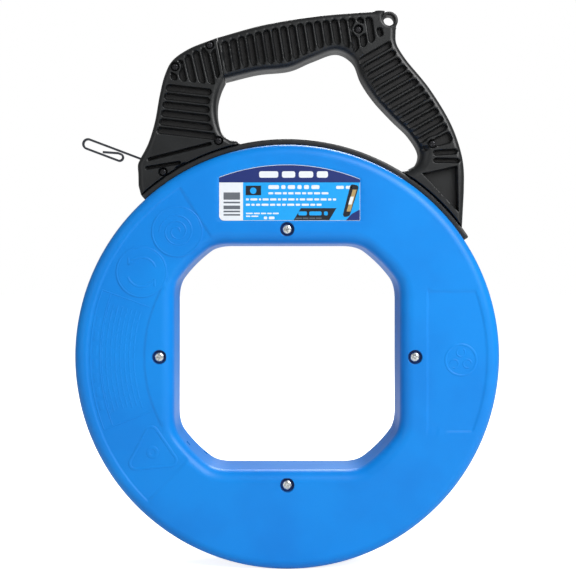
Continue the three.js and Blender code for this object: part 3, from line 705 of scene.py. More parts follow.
def film(skin, outline, low, high):
    """A flat layer with that outline between two depths, its two faces each one polygon."""
    outline = np.asarray(outline, float)
    rings = np.stack([skin.add(stand(outline, np.full(len(outline), depth))) for depth in (low, high)])
    skin.quads(hooped(rings))
    skin.cap(rings[0])
    skin.cap(rings[1][::-1])


def bar(left, right, foot, head, slant=0):
    """A four-sided outline, its head moved over by a slant."""
    return [(left, foot), (right, foot), (right + slant, head), (left + slant, head)]


def arch(radius, foot):
    """The part of a disc about the reel's centre above a level and between the label's sides."""
    ends = [math.degrees(math.acos(side / radius)) for side in (label_right, label_left)]
    top = polar(np.linspace(*ends, 60), radius)
    return np.concatenate([[(label_left, foot), (label_right, foot)], top])


inks = {ink: Skin() for ink in INKS}


def printed(ink, outline, layer=1):
    """Adds a shape to one of the inks, on top of the layers under it."""
    film(inks[ink], outline, label_face + (layer - 1) * INK, label_face + layer * INK)


sheet = Skin()
whole = arch(LABEL_RADIUS, label_foot + LABEL_CORNER)
corner_arc = arc((label_left + LABEL_CORNER, label_foot + LABEL_CORNER), LABEL_CORNER, 180, 270, 8)
whole = np.concatenate([corner_arc, [(label_right, label_foot)], whole[2:]])
film(sheet, whole, label_face - FILM, label_face)
printed("navy", arch(LABEL_RADIUS - 0.3, LABEL_BAND_FOOT))
printed("sky", bar(PANEL_RIGHT, label_right - 0.2, label_foot + 0.2, LABEL_BAND_FOOT))
for head, foot in BARS:
    printed("grey", bar(-45.4, -33.6, foot, head))
printed("dark", bar(-29.6, -18.6, 115.6, 122.4), 2)
printed("sky", arc((-24.2, 118.8), 2.3, 0, 360, 24)[:-1], 3)
printed("dark", bar(4.6, 30, 97.8, 106.4, 5.2), 2)
printed("dark", rounded([(39, 99), (44.6, 101), (51.4, 122.4), (45.4, 123.6)], 1.8), 2)
printed("amber", bar(42.4, 45.2, 104, 119.6, 4.4), 3)
printed("white", bar(43.6, 46, 109, 114.6, 1.6), 4)
printed("navy", [(42, 97.7), (51.8, 97.7), (51.8, 105.4), (46, 102.2)], 3)


def words(ink, left, right, middle, height, layer):
    """A line of print as plain dashes with rounded ends and a word's gap between them."""
    while left < right - 2:
        end = min(right, left + chance.uniform(1.6, 5.2) * max(1, height / 1.6))
        dash = bar(left, end, middle - height / 2, middle + height / 2)
        printed(ink, rounded(dash, height * 0.28, 3), layer)
        left = end + 0.5 * height + 0.3


for line in PRINT:
    words(*line)


def inked(name, colour):
    """A printed layer's finish: one colour, a little mottled, with a satin gloss."""
    material, at = finish(name)
    mottle = noise(at, 3, 3)
    dim = tuple(0.9 * share for share in colour)
    wire_up(material, base_color=mottle.blend(dim, colour), roughness=mottle * 0.08 + 0.34)
    return material


backing = inked("label_white", INKS["white"])
sheet.piece("label_film_sheet", "reel", "label_film", backing, ["label"])
for ink, colour in INKS.items():
    inks[ink].piece(f"label_ink_{ink}", "reel", "label_film", inked(f"ink_{ink}", colour))

# The steel tape in the case. About 73 m of blued spring steel, 3.2 by 1.5 mm, wound in level
# layers round the hub; its inner end is bent to an eye round a plain steel post that both
# case halves hold.
TAPE_WIDTH = 3.2
TAPE_THICK = 1.5
TAPE_CUT = 0.3
LAYERS = 10
TURNS_A_LAYER = 11
TURN_STEPS = 60
CLIMB = 0.08
POST_RADIUS = 2
POST_BEVEL = 0.4
EYE_GAP = 0.3
EYE_LEAD = -8.4


def ribbon(skin, line, up=None):
    """The flat tape along a line of points. Its section is a rectangle with its corners cut,
    wide along Y and high along a direction up at each point, which is the line's own way
    turned a quarter turn unless it is given."""
    if up is None:
        way = np.gradient(line, axis=0)
        up = np.stack([way[:, 2], 0 * way[:, 0], -way[:, 0]], -1)
        up /= np.linalg.norm(up, axis=1, keepdims=True)
    wide, high = TAPE_WIDTH / 2, TAPE_THICK / 2
    section = np.array([(wide, high - TAPE_CUT), (wide - TAPE_CUT, high)])
    section = np.concatenate([section, section[::-1] * [-1, 1]])
    section = np.concatenate([section, -section])
    across = section[:, :1] * np.array([0.0, 1.0, 0.0])
    skin.tube(line[:, None] + across + section[:, 1:] * up[:, None])


blued, blued_at = finish("blued_spring_steel", metallic=0.9)
temper = noise(blued_at, 18, 3)
rolled = noise(blued_at, 0.5, 2, (0.1, 1, 0.1))
wire_up(
    blued,
    base_color=temper.blend(srgb(62, 66, 74), srgb(88, 90, 94)),
    roughness=rolled * 0.18 + 0.28,
    height=rolled * 0.02,
)
tape_low, tape_high = extent("wound_tape")
pack_outer, pack_half = tape_high[2], tape_high[1]
pack_inner = pack_outer - LAYERS * TAPE_THICK
steps = LAYERS * TURNS_A_LAYER * TURN_STEPS
wound = np.linspace(0, LAYERS * TURNS_A_LAYER, steps + 1)
layer = np.minimum(wound // TURNS_A_LAYER, LAYERS - 1)
along = (wound - layer * TURNS_A_LAYER) / TURNS_A_LAYER
climb = np.clip((along - 1) / CLIMB + 1, 0, 1) * (layer < LAYERS - 1)
pack_radius = pack_inner + TAPE_THICK * (layer + 0.5 + climb * climb * (3 - 2 * climb))
sweep = np.where(layer % 2, 1 - along, along)
level = (pack_half - TAPE_WIDTH / 2) * (2 * sweep - 1)
round_turn = EYE_LEAD + 360 * wound
pack = Skin()
outwards = stand(polar(round_turn, np.ones_like(wound)), 0 * wound)
winding = outwards * pack_radius[:, None] + level[:, None] * np.array([0.0, 1.0, 0.0])
ribbon(pack, winding, outwards)
post_low, post_high = extent("anchor_post")
post_centre = (post_low + post_high)[[0, 2]] / 2
eye_turn = np.linspace(0, 330, 40)
eye = stand(post_centre + polar(eye_turn, POST_RADIUS + EYE_GAP + TAPE_THICK / 2), 0 * eye_turn)
lead = stand(polar(EYE_LEAD, np.array([pack_inner + TAPE_THICK / 2])), np.zeros(1))
ribbon(pack, np.concatenate([lead, 0.5 * (lead + eye[:1]), eye]))
pack.piece("wound_tape_turns", "reel", "tape_steel", blued, ["wound_tape"])


post = Skin()
post_half = post_high[1]
post_end = [(POST_RADIUS - POST_BEVEL, post_half), (POST_RADIUS, post_half - POST_BEVEL)]
radius, depth = np.array(post_end + [(r, -d) for r, d in post_end[::-1]]).T[..., None]
turn = np.linspace(0, 360, 48, endpoint=False)
post.tube(circles(post_centre, turn, radius, depth))
post.piece("anchor_post_pin", "reel", "zinc_steel", zinc, ["anchor_post"])

# The rim guide. One black nylon moulding that follows the rim: an outer strip, a web that runs in
# the case's slot and a shoe inside it. The handle halves are screwed over its two lugs.
GUIDE_FROM, GUIDE_TO = 33.2, 132.3
STRIP = (153.2, 157.9, 13)
WEB_HALF = 4.2
SHOE = (145.8, 148.8, 12)
GUIDE_ROUND = 1.1
NOSE_LUG = (108.2, 121.5, 154.4, 166.9)
GRIP_LUG = [(54.6, 2), (45, 2), (48, 20), (53, 39), (58, 39), (54.8, 22)]
LUG_HALF = 3


def above_rim(knots):
    """Points given as a direction and a height above the rim."""
    turn, height = np.asarray(knots, float).T
    return polar(turn, CASE_RADIUS + height)


strip_in, strip_out, strip_half = STRIP
shoe_in, shoe_out, shoe_half = SHOE
web_corners = [(strip_in, WEB_HALF), (shoe_out, WEB_HALF)]
half_section = [(strip_out, strip_half), (strip_in, strip_half), *web_corners]
half_section += [(shoe_out, shoe_half), (shoe_in, shoe_half)]
section = np.array(half_section + [(r, -y) for r, y in half_section[::-1]])
soft_section = rounded(section, GUIDE_ROUND, 4)
middle_section = section.mean(0)
# How its ends round over: places in degrees from an end, and how far the section shrinks there.
GUIDE_END = np.array([0.0, 0.12, 0.35, 0.7])
GUIDE_INSET = np.array([0.7, 0.3, 0.08, 0])
GUIDE_STEPS = 220
middle_turns = np.linspace(GUIDE_FROM + 1, GUIDE_TO - 1, GUIDE_STEPS)
turn = np.concatenate([GUIDE_FROM + GUIDE_END, middle_turns, GUIDE_TO - GUIDE_END[::-1]])
inset = np.concatenate([GUIDE_INSET, np.zeros(GUIDE_STEPS), GUIDE_INSET[::-1]])
span = np.abs(soft_section - middle_section)
shrunk = soft_section - np.sign(soft_section - middle_section) * np.minimum(inset[:, None, None], span)
guide = Skin()
guide.tube(stand(polar(turn[:, None], shrunk[..., 0]), shrunk[..., 1], -1))
low_turn, high_turn, lug_in, lug_out = NOSE_LUG
lug_arc = [arc((0, 0), lug_in, low_turn, high_turn, 20), arc((0, 0), lug_out, high_turn, low_turn, 20)]
film(guide, np.concatenate(lug_arc), -LUG_HALF, LUG_HALF)
film(guide, above_rim(GRIP_LUG), -LUG_HALF, LUG_HALF)
nylon, nylon_at = finish("black_nylon")
rub = noise(nylon_at, 5, 4)
wire_up(
    nylon,
    base_color=rub.blend(srgb(17, 18, 20), srgb(27, 29, 31)),
    roughness=rub * 0.16 + 0.3,
    height=noise(nylon_at, 0.8) * 0.02,
)
guide.piece("rim_guide_strip", "handle", "guide_nylon", nylon, ["rim_guide"])

# The handle. Four hollow shells of black glass-filled nylon, injection moulded in pairs: the
# nose, which leads the tape out, and the grip, which ends in a hang loop. Their outer edges
# are rounded, their faces slotted for grip, and screws pull each pair together.
HANDLE_HALF = 15.5
OUTER_ROUND = 4.5
NOSE_INNER_ROUND = 4.2
GRIP_INNER_ROUND = 8
END_ROUND = 0.5
SLOT_DEPTH = 3.6
SLOT_EDGE = 1.5
SHELL_WALL = 2.2
SHELL_FLOOR = 8
WALL_AT_BENDS, THIN_AT_BENDS = 0.02, 0.15
MOUTH_DEPTH = 3.3
LAP = 1.1
HANDLE_SEAT = 3.2
SEAT_STEP = (3.4, 0.5)
# How far the rows of slots stay from the screws' centres, the seam, the hang loop's centre and
# the leg's first slot, and how far the leg's slots reach from a line along their left ends.
NOSE_SCREW_CLEAR, GRIP_SCREW_CLEAR, SEAM_CLEAR = 4.8, 5, 2.5
LOOP_CLEAR, LEG_CLEAR, LEG_REACH = 10, 8, 13
SPLINE_STEPS = 8
EDGE_ROWS = 9
BENT_SHARE = 0.3
POINTS_AT_ONCE = 8000
FOOT_HEIGHT = 5.8
NOSE_OUTER = [(131.2, 12), (129.4, 18.5), (128, 24.2), (126.8, 26.4), (123.4, 32), (119.6, 43)]
NOSE_OUTER += [(116, 59.3), (113.6, 70.5), (111.4, 78), (108, 82.2), (102.5, 84.8)]
NOSE_INNER = [(103.2, 8.4), (104.8, 10.2), (106.3, 16), (106.5, 27), (105.6, 39), (104.2, 48)]
NOSE_INNER += [(102.8, 54.5)]
NOSE_FOOT = (132.3, 102.6)
NOSE_SCREWS = {"nose_top": (111.2, 72.9), "nose_seam": (104, 80.4)}
NOSE_SCREWS |= {"nose_foot": (124, 8.8), "nose_heel": (107.7, 11.7)}
# Rows of slots: where the first one's centre line runs through, its heading, the pitch and
# how many. Single grooves: their two ends and the radius of their round ends. The nose's two
# rows part at a line through a point with a heading.
LOWER_ROW = ((-71.5, 193.2), -6.6, 6.3, 6)
UPPER_ROW = ((-81.5, 199), 102.8, 6.5, 6)
ROWS_PART = ((-81.7, 200.4), -6.2)
# How far each row's slots stay from the outer and the inner side.
MARGINS = {"lower": (4.1, 5), "upper": (4.3, 4), "arch": (4.7, 4), "leg": (4.3, 2)}
NOSE_GROOVES = [((-92.6, 164.9), (-53.4, 160.6), 0.9), ((-100.2, 142.8), (-56, 154), 0.8)]
NOSE_GROOVES += [((-101.6, 136.6), (-78.4, 140.3), 0.9), ((-79.4, 135.4), (-74.4, 138.2), 1.9)]
TAPE_EXIT = (126.7, 27.9)
TAPE_RISE = 20.7
MOUTH_HALF = 3.8


def spline(knots):
    """A smooth run through knots: a centripetal Catmull-Rom curve, each span a cubic whose
    end slopes come from its neighbours, with the first and last spans carried on straight."""
    knots = np.asarray(knots, float)
    held = np.concatenate([[2 * knots[0] - knots[1]], knots, [2 * knots[-1] - knots[-2]]])
    p0, p1, p2, p3 = held[:-3], held[1:-2], held[2:-1], held[3:]
    spans = ((p0, p1), (p1, p2), (p2, p3))
    g0, g1, g2 = (np.sqrt(np.hypot(*(b - a).T))[:, None] for a, b in spans)
    start = g1 * ((p1 - p0) / g0 - (p2 - p0) / (g0 + g1) + (p2 - p1) / g1)
    end = g1 * ((p2 - p1) / g1 - (p3 - p1) / (g1 + g2) + (p3 - p2) / g2)
    t = np.linspace(0, 1, SPLINE_STEPS, endpoint=False)[None, :, None]
    p1, p2, start, end = (a[:, None] for a in (p1, p2, start, end))
    cubic = (2 * t**3 - 3 * t**2 + 1) * p1 + (t**3 - 2 * t**2 + t) * start
    cubic = cubic + (3 * t**2 - 2 * t**3) * p2 + (t**3 - t**2) * end
    return np.concatenate([cubic.reshape(-1, 2), knots[-1:]])


def measured(line):
    """How far along a line each of its points lies."""
    return np.append(0, np.cumsum(np.hypot(*np.diff(line, axis=0).T)))


def places_on(line, at):
    """The places at some distances along a line."""
    return np.stack([np.interp(at, measured(line), line[:, axis]) for axis in (0, 1)], -1)


def paced(line, marks, counts):
    """A line measured out again: between each two marked places, so many even steps."""
    stops = measured(line)[marks]
    at = [np.linspace(a, b, n, endpoint=False) for a, b, n in zip(stops, stops[1:], counts)]
    return places_on(line, np.append(np.concatenate(at), stops[-1]))


def away(flat, line):
    """The least distance from each point to a line of short straight pieces."""
    start, step = line[:-1], np.diff(line, axis=0)
    length = (step**2).sum(1)
    points = flat.reshape(-1, 2)
    least = np.empty(len(points))
    for part in np.array_split(np.arange(len(points)), 1 + len(points) // POINTS_AT_ONCE):
        gap = points[part, None] - start
        share = np.clip((gap * step).sum(2) / length, 0, 1)
        least[part] = gap_to(gap, share[..., None] * step).min(1)
    return least.reshape(flat.shape[:-1])


def rungs(outer, inner, first, last, rounds, between):
    """A grid between two long sides: straight rungs, closely spaced where the edges round
    over, and the rungs near both ends bent to follow the first and last curves."""
    outer_round, inner_round = rounds
    fall = 1 - np.cos(np.radians(np.linspace(0, 90, EDGE_ROWS)))
    width = np.hypot(*(inner - outer).T)[:, None]
    left, right = fall * outer_round / width, 1 - fall[::-1] * inner_round / width
    share = np.linspace(0, 1, between + 2)[1:-1]
    middle = left[:, -1:] + share * (right[:, :1] - left[:, -1:])
    across = np.concatenate([left, middle, right], 1)[..., None]
    flat = outer[:, None] + across * (inner - outer)[:, None]
    number = np.arange(len(outer))[:, None, None]
    for curve, row in ((first, 0), (last, -1)):
        wanted = places_on(curve, across[row, :, 0] * measured(curve)[-1])
        far = np.abs(number - (len(outer) - 1) * (row < 0)) / (BENT_SHARE * len(outer))
        flat = flat + soft_step(0.5 - far, 1) / soft_step(0.5, 1) * (wanted - flat[row])
    return flat


def shoulder(distance, radius):
    """How far a rounded edge falls at a distance in from it: a quarter circle's drop."""
    into = np.clip(radius - distance, 0, radius)
    return radius - np.sqrt(radius**2 - into**2)


def slots(flat, start, heading, pitch, count, outside, half=2.1):
    """Distance outside a row of parallel slots with round ends: the first one's centre line
    runs through a point, the others follow at a pitch to the right of the heading, and all
    of them end where the distance outside their area is nothing."""
    side = np.array([math.sin(math.radians(heading)), -math.cos(math.radians(heading))])
    across = (flat - np.array(start)) @ side
    nearest = np.clip(np.round(across / pitch), 0, count - 1)
    return np.hypot(across - nearest * pitch, np.maximum(outside + half, 0)) - half


def capsule(flat, a, b, radius):
    """Distance outside a bar with round ends between two points."""
    a, b = np.array(a, float), np.array(b, float)
    share = np.clip((flat - a) @ (b - a) / ((b - a) @ (b - a)), 0, 1)
    return gap_to(flat, a + share[..., None] * (b - a)) - radius


def beside(flat, point, heading):
    """Distance to the left of a line through a point in a direction."""
    side = np.array([-math.sin(math.radians(heading)), math.cos(math.radians(heading))])
    return (flat - np.array(point)) @ side


def slot_area(sides, margins, *others):
    """Distance outside the area that a row of slots fills: it keeps its margins from the
    outer and the inner side, and stays clear of the other lines and places."""
    return np.maximum.reduce([margins[0] - sides[0], margins[1] - sides[1], *others])


def handle_shell(side, flat, depth, mouths):
    """One shell: its face is the grid at its depths. Its wall runs straight back to the parting
    plane, then in by the wall's thickness, which is less near its sharp corners, and forward
    again to a hidden floor. The parting faces slope, so that the rear one laps the front one.
    Mouths are notches in the wall's edge, stitched from its outer to its inner face."""
    skin = Skin()
    numbers = skin.add(stand(flat, depth, side))
    skin.quads(numbers)
    rows, columns = len(numbers) - 1, len(numbers[0]) - 1
    order = border(np.arange(numbers.size).reshape(numbers.shape), 0, rows, 0, columns)
    edge, edge_depth = flat.reshape(-1, 2)[order], depth.reshape(-1)[order]
    tangent = np.roll(edge, -1, 0) - np.roll(edge, 1, 0)
    normal = np.stack([-tangent[:, 1], tangent[:, 0]], -1) / np.hypot(*tangent.T)[:, None]
    area = (edge[:, 0] * np.roll(edge[:, 1], -1) - edge[:, 1] * np.roll(edge[:, 0], -1)).sum()
    bends = flat[[0, 0, -1, -1], [0, -1, 0, -1]]
    to_bend = gap_to(edge[:, None], bends).min(1)
    wall = np.minimum(SHELL_WALL, WALL_AT_BENDS + THIN_AT_BENDS * to_bend)
    inside = edge + normal * wall[:, None] * np.sign(area)
    rings = [numbers.reshape(-1)[order]]
    for share in (0.35, 0.7):
        rings.append(skin.add(stand(edge, edge_depth + share * (MOUTH_DEPTH - edge_depth), side)))
    places = ((edge, MOUTH_DEPTH), (edge, PARTING), (inside, PARTING + side * LAP), (inside, MOUTH_DEPTH))
    for line, at in (*places, (inside, SHELL_FLOOR)):
        rings.append(skin.add(stand(line, np.full(len(line), float(at)), side)))
    stack = hooped(np.array(rings))
    keep = np.ones((len(rings) - 1, len(edge)), bool)
    for mouth in mouths:
        inner_side = np.nonzero(mouth(edge))[0]
        first, last = inner_side.min(), inner_side.max()
        keep[3:6, first:last] = False
        skin.quads(stack[[3, 6], first : last + 1])
        for column in (first, last):
            skin.cap(stack[3:7, column])
    skin.quads(stack, keep)
    floor = np.zeros(numbers.size, int)
    floor[order] = rings[-1]
    floor = floor.reshape(numbers.shape)
    skin.quads(floor[1:-1, [0, -1]])
    skin.cap(np.append(floor[0], floor[1, [-1, 0]]))
    skin.cap(np.append(floor[-1], floor[-2, [-1, 0]]))
    return skin


def handle_depth(flat, sides, cuts):
    """Depth of a shell's face: its half thickness, less the greatest of its edges' falls, and
    no higher than the floor of any slot, pocket or seat there."""
    fall = np.maximum.reduce([shoulder(away(flat, line), radius) for line, radius in sides])
    depth = HANDLE_HALF - fall
    for outside, deep, edge in cuts:
        step = soft_step(-outside, edge)
        depth = np.where(step > 0, np.minimum(depth, HANDLE_HALF - deep * step), depth)
    return depth


nose_foot = arc((0, 0), CASE_RADIUS + FOOT_HEIGHT, *NOSE_FOOT, 60)
nose_outer = np.concatenate([nose_foot[:1], spline(above_rim(NOSE_OUTER))])
nose_inner = np.concatenate([nose_foot[-1:], spline(above_rim(NOSE_INNER))])
nose_end = np.array([nose_outer[-1], nose_inner[-1]])
step_counts = (66, 60, 60, 60, 54)
outer_marks = [0] + [1 + SPLINE_STEPS * knot for knot in (2, 5, 6, 8, 10)]
inner_marks = [0] + [1 + SPLINE_STEPS * knot for knot in (1, 3, 4, 5, 6)]
nose_flat = rungs(
    paced(nose_outer, outer_marks, step_counts),
    paced(nose_inner, inner_marks, step_counts),
    nose_foot,
    nose_end,
    (OUTER_ROUND, NOSE_INNER_ROUND),
    150,
)
nose_sides = away(nose_flat, nose_outer[1:]), away(nose_flat, nose_inner[1:])
nose_places = {key: above_rim([value])[0] for key, value in NOSE_SCREWS.items()}
nose_gaps = {key: gap_to(nose_flat, place) for key, place in nose_places.items()}
clear_of_screws = NOSE_SCREW_CLEAR - np.minimum(nose_gaps["nose_top"], nose_gaps["nose_seam"])
clear_of_seam = SEAM_CLEAR - away(nose_flat, nose_end)
above_line = -beside(nose_flat, *ROWS_PART)
lower_area = slot_area(nose_sides, MARGINS["lower"])
others = (clear_of_screws, clear_of_seam, above_line)
upper_area = slot_area(nose_sides, MARGINS["upper"], *others)
nose_slots = [slots(nose_flat, *LOWER_ROW, lower_area), slots(nose_flat, *UPPER_ROW, upper_area)]
nose_slots += [capsule(nose_flat, *groove) for groove in NOSE_GROOVES]
nose_cuts = [(np.minimum.reduce(nose_slots), SLOT_DEPTH, SLOT_EDGE)]
nose_edges = [
    (nose_outer, OUTER_ROUND),
    (nose_inner, NOSE_INNER_ROUND),
    (nose_foot, END_ROUND),
    (nose_end, END_ROUND),
]
exit_point = above_rim([TAPE_EXIT])[0]
outward = polar(180 - TAPE_RISE, np.ones(1))[0]
downward = np.array([-outward[1], outward[0]])


def tape_line(along, across):
    """Points along and across the tape's line, from where it leaves the nose."""
    along, across = np.asarray(along, float)[..., None], np.asarray(across, float)[..., None]
    return exit_point + along * outward + across * downward


def exit_mouth(edge):
    """The stretch of the nose's outer side that the tape leaves through."""
    gap = edge - exit_point
    return (np.abs(gap @ downward) < MOUTH_HALF) & (gap @ outward > -12)


def foot_mouth(low, high):
    """A test for the stretch of a foot between two directions, which a lug comes in through."""

    def inside(edge):
        turn = np.degrees(np.arctan2(edge[:, 1], edge[:, 0]))
        on_foot = np.hypot(*edge.T) < CASE_RADIUS + FOOT_HEIGHT + 0.2
        return on_foot & (turn > low) & (turn < high)

    return inside


black, black_at = finish("black_moulded_nylon", specular_ior_level=0.42)
handled = noise(black_at, 14, 4)
spark = noise(black_at, 0.9, 3)
# The cut floors get painted shade: where cut_depth is high the colour goes near-black, and they are rougher
# as well.
cut_shade_and_dull = black_at.node("ShaderNodeAttribute", {"attribute_name": "cut_depth"}, output="Fac")
wire_up(
    black,
    base_color=cut_shade_and_dull.blend(handled.blend(srgb(15, 16, 17), srgb(24, 26, 27)), srgb(5, 5, 6)),
    roughness=handled * 0.12 + 0.28 + spark * 0.06 + cut_shade_and_dull * 0.35,
    height=spark * 0.035,
)


def mark_cuts(made, cuts, sunk_from=0.2):
    """Stores how far inside a cut each point of a shell's face lies, from 0 at a cut's edge to 1 on its
    floor; the moulded floors get painted shade, near-black, and a rougher finish."""
    inside = np.maximum.reduce([soft_step(-outside - sunk_from, edge) for outside, deep, edge in cuts])
    values = np.zeros(len(made.data.vertices))
    values[: inside.size] = inside.reshape(-1)
    made.data.attributes.new("cut_depth", "FLOAT", "POINT").data.foreach_set("value", values)


def handle_pair(name, flat, edges, cuts, screw_gaps, mouths, add_to=None):
    """The front and rear shells of the nose or the grip. Only the front has screw seats, and
    add_to, where there is one, adds what else is moulded with a shell."""
    for which, side in (("front", 1), ("rear", -1)):
        seats = [(gap - HANDLE_SEAT, *SEAT_STEP) for gap in screw_gaps.values()]
        side_cuts = cuts + seats * (side > 0)
        shell = handle_shell(side, flat, handle_depth(flat, edges, side_cuts), mouths)
        if add_to:
            add_to(shell, side)
        shell_name, node = f"{name}_{which}_shell", f"{name}_{which}"
        made = shell.piece(shell_name, "handle", "handle_black", black, [node], 50)
        mark_cuts(made, side_cuts)


nose_mouths = [exit_mouth, foot_mouth(NOSE_LUG[0] - 1, NOSE_LUG[1] + 3)]
handle_pair("nose", nose_flat, nose_edges, nose_cuts, nose_gaps, nose_mouths)

# The grip: the handle's long arch over the fingers and down to the rim. It keys into the nose
# and ends in a foot with a moulded pocket; its upper corner carries the hang loop.
GRIP_TOP = [(102.4, 84.8), (94, 89.2), (84.6, 96.4), (75.8, 106.4)]
GRIP_BACK = [(71.55, 97.5), (70.8, 89), (68.6, 81.2), (62, 68.2), (54.5, 53.8), (49.1, 41.6)]
GRIP_BACK += [(46.2, 33.6), (42.8, 23)]
GRIP_UNDER = [(102.7, 54.5), (96, 56.3), (89.4, 58), (85.2, 65.4), (80.6, 73.4), (77.4, 69), (75, 57)]
GRIP_UNDER += [(71.4, 46.4), (66, 37.4), (60.9, 31.9), (56.9, 24.6), (56, 16.7), (57, 9.6)]
GRIP_FOOT = (36.4, 58.4)
LOOP = (73.1, 104.5)
LOOP_SPREAD = (128, 314)
LOOP_SEAT = 5.9
LOOP_RING = (3.95, 6.6, 6)
GRIP_SCREWS = {"grip_top": (77.7, 90.4), "grip_foot": (55.6, 34.4)}
ARCH_ROW = ((60.6, 235.95), -81, 6.24, 18)
LEG_ROW = ((63.4, 219.85), 29.5, 6.5, 13)
GRIP_GROOVES = [((67, 236.4), (67.6, 234), 1.8), ((109.7, 155.8), (116.2, 157.7), 3.1)]
GRIP_GROOVES += [((107.9, 147.6), (121.5, 148.4), 1.7), ((107.9, 142.1), (123.3, 141.8), 1.5)]
POCKET = above_rim([(53.2, 12.8), (48.2, 32), (40.6, 10.6)])
POCKET_DEPTH = 9.5
KEY = above_rim([(98.6, 61), (106, 60), (106, 78.5), (102.5, 82), (98.6, 83.5)])
KEY_HALF = 5


def polygon(flat, corner_points):
    """Distance outside a convex outline: the greatest distance beyond any of its sides."""
    corner_points = np.asarray(corner_points, float)
    way = np.roll(corner_points, -1, 0) - corner_points
    normal = np.stack([way[:, 1], -way[:, 0]], -1) / np.hypot(*way.T)[:, None]
    beyond = ((flat[..., None, :] - corner_points) * normal).sum(-1)
    turned_way = np.sign(((corner_points.mean(0) - corner_points[0]) * normal[0]).sum())
    return (-turned_way * beyond).max(-1)


loop_centre = above_rim([LOOP])[0]
grip_foot = arc((0, 0), CASE_RADIUS + FOOT_HEIGHT, *GRIP_FOOT, 60)
grip_top = spline(above_rim(GRIP_TOP))
loop_seat = arc(loop_centre, LOOP_SEAT, *LOOP_SPREAD, 33)
grip_back = spline(above_rim(GRIP_BACK))
grip_outer = np.concatenate([grip_top, loop_seat, grip_back, grip_foot[:1]])
grip_inner = np.concatenate([spline(above_rim(GRIP_UNDER)), grip_foot[-1:]])
grip_end = np.array([grip_outer[0], grip_inner[0]])
back_start = len(grip_top) + len(loop_seat)
loop_middle = len(grip_top) + len(loop_seat) // 2
outer_marks = [0, SPLINE_STEPS, 2 * SPLINE_STEPS, loop_middle]
outer_marks += [back_start + SPLINE_STEPS * knot for knot in (2, 4, 6)] + [len(grip_outer) - 1]
inner_marks = [SPLINE_STEPS * knot for knot in (0, 2, 4, 5, 7, 9, 11)] + [len(grip_inner) - 1]
step_counts = (80, 90, 110, 110, 90, 80, 60)
grip_flat = rungs(
    paced(grip_outer, outer_marks, step_counts),
    paced(grip_inner, inner_marks, step_counts),
    grip_end,
    grip_foot,
    (OUTER_ROUND, GRIP_INNER_ROUND),
    110,
)
grip_sides = away(grip_flat, grip_outer), away(grip_flat, grip_inner)
grip_places = {key: above_rim([value])[0] for key, value in GRIP_SCREWS.items()}
grip_gaps = {key: gap_to(grip_flat, place) for key, place in grip_places.items()}
clear_of_top, clear_of_foot = (GRIP_SCREW_CLEAR - gap for gap in grip_gaps.values())
clear_of_loop = LOOP_CLEAR - gap_to(grip_flat, loop_centre)
leg_start, leg_heading = LEG_ROW[:2]
clear_of_leg = LEG_CLEAR - beside(grip_flat, leg_start, leg_heading)
left_ends = -LEG_REACH - beside(grip_flat, leg_start, leg_heading - 90)
others = (clear_of_leg, clear_of_loop, clear_of_top)
arch_area = slot_area(grip_sides, MARGINS["arch"], *others)
leg_area = slot_area(grip_sides, MARGINS["leg"], left_ends, clear_of_foot)
grip_slots = [slots(grip_flat, *ARCH_ROW, arch_area), slots(grip_flat, *LEG_ROW, leg_area)]
grip_slots += [capsule(grip_flat, *groove) for groove in GRIP_GROOVES]
grip_cuts = [
    (np.minimum.reduce(grip_slots), SLOT_DEPTH, SLOT_EDGE),
    (polygon(grip_flat, POCKET), POCKET_DEPTH, 1.6),
]
grip_edges = [
    (np.concatenate([grip_back, grip_foot[:1]]), OUTER_ROUND),
    (grip_top, OUTER_ROUND),
    (loop_seat, 1.5),
    (grip_inner, GRIP_INNER_ROUND),
    (grip_foot, END_ROUND),
    (grip_end, END_ROUND),
]


def loop_and_key(shell, side):
    """Adds half the hang loop's ring, turned with rounded edges, and to the rear shell the key."""
    bore, ring, half = LOOP_RING
    section = [(bore, PARTING), (bore, half - 0.8), (bore + 0.25, half - 0.25)]
    section += [(bore + 0.8, half), (ring - 1, half), (ring - 0.3, half - 0.3)]
    section += [(ring, half - 1), (ring, PARTING)]
    radius, deep = np.array(section).T[..., None]
    turn = np.linspace(0, 360, 73)[:-1]
    shell.quads(closed(shell.add(circles(loop_centre, turn, radius, deep, side))))
    if side < 0:
        film(shell, KEY, -KEY_HALF, KEY_HALF)


grip_mouths = [foot_mouth(GRIP_LUG[1][0] - 1, GRIP_LUG[0][0] + 1)]
handle_pair("grip", grip_flat, grip_edges, grip_cuts, grip_gaps, grip_mouths, loop_and_key)

# Handle screws. Six black-oxide pan heads in round seats; they pass through the front shells
# and the guide's lugs into bosses in the rear shells.
oxide, oxide_at = finish("black_oxide", metallic=0.85)
oxide_cloud = noise(oxide_at, 1.2, 3)
wire_up(
    oxide,
    base_color=oxide_cloud.blend(srgb(34, 34, 37), srgb(58, 58, 60)),
    roughness=oxide_cloud * 0.2 + 0.28,
    height=oxide_cloud * 0.01,
)
for place_name in (*NOSE_SCREWS, *GRIP_SCREWS):
    node = f"handle_screw_{place_name}"
    pan_head(node, HANDLE_SHANK).piece(f"{node}_headed", "handle", "black_steel", oxide, [node])

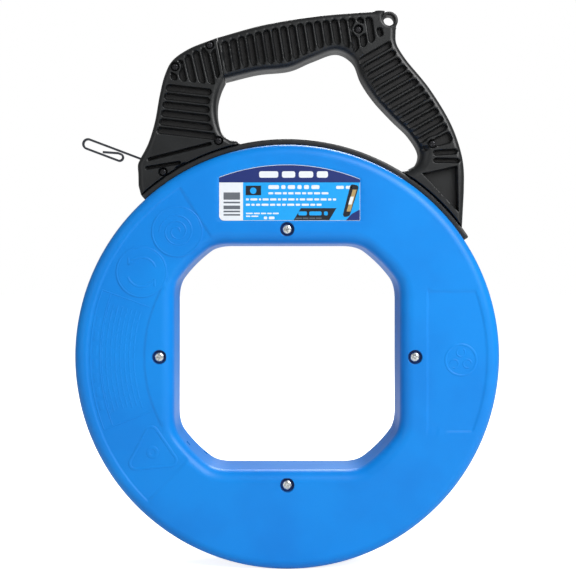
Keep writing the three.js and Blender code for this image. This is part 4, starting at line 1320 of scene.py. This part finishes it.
# The nose bush. A short zinc-plated sleeve pressed between the nose halves, so that the tape
# runs on steel where it leaves.
BUSH = {"face": 2.8, "length": 9.2, "wide": 7, "high": 6, "bevel": 0.4}
CHANNEL = (4.4, 2.7)


def frame_ring(wide, high, along):
    """Four corners of a rectangle across the tape's line at a distance along it."""
    across = np.array([1, 1, -1, -1]) * high / 2
    depth = np.array([1, -1, -1, 1]) * wide / 2
    return stand(tape_line(along + 0 * across, across), depth)


bush = Skin()
bevel, near, far = BUSH["bevel"], -BUSH["face"], -BUSH["face"] - BUSH["length"]
wide, high = BUSH["wide"], BUSH["high"]
rings = [frame_ring(wide - 2 * bevel, high - 2 * bevel, far), frame_ring(wide, high, far + bevel)]
rings += [frame_ring(wide, high, near - bevel), frame_ring(wide - 2 * bevel, high - 2 * bevel, near)]
rings += [frame_ring(CHANNEL[0], CHANNEL[1], near), frame_ring(CHANNEL[0], CHANNEL[1], far)]
bush.quads(closed(bush.add(np.array(rings))))
bush.piece("nose_bush_sleeve", "handle", "zinc_steel", zinc, ["nose_bush"])

# The tape's free end. The flat tape is folded back on itself into a hook for pulling wires,
# and its tip is bent in again so that the eye stays shut.
HOOK_REACH, HOOK_BEND = 40.4, 3.55
HOOK_BACK, HOOK_CURL, CURL_TO = 15.3, 2.6, 250
HOOK_TIP = [(17.3, 2.0), (28.1, 5.2)]
tail_x = extent("tape_end")[1][0]
tail = (tail_x - exit_point[0] + TAPE_THICK / 2 * downward[0]) / -outward[0]
hook = np.concatenate(
    [
        np.linspace([-tail, 0], [0, 0], 24),
        np.linspace([2, 0], [HOOK_REACH - 2, 0], 12),
        arc((HOOK_REACH, HOOK_BEND), HOOK_BEND, -90, 90, 28),
        np.linspace([HOOK_REACH - 2, 2 * HOOK_BEND], [HOOK_BACK + 2, 2 * HOOK_BEND], 8),
        arc((HOOK_BACK, 2 * HOOK_BEND - HOOK_CURL), HOOK_CURL, 90, CURL_TO, 24),
        np.linspace(*HOOK_TIP, 6),
    ]
)
free_end = Skin()
ribbon(free_end, stand(tape_line(hook[:, 0], hook[:, 1]), 0 * hook[:, 0]))
free_end.piece("tape_hook", "tape_end", "tape_steel", blued, ["tape_end"])
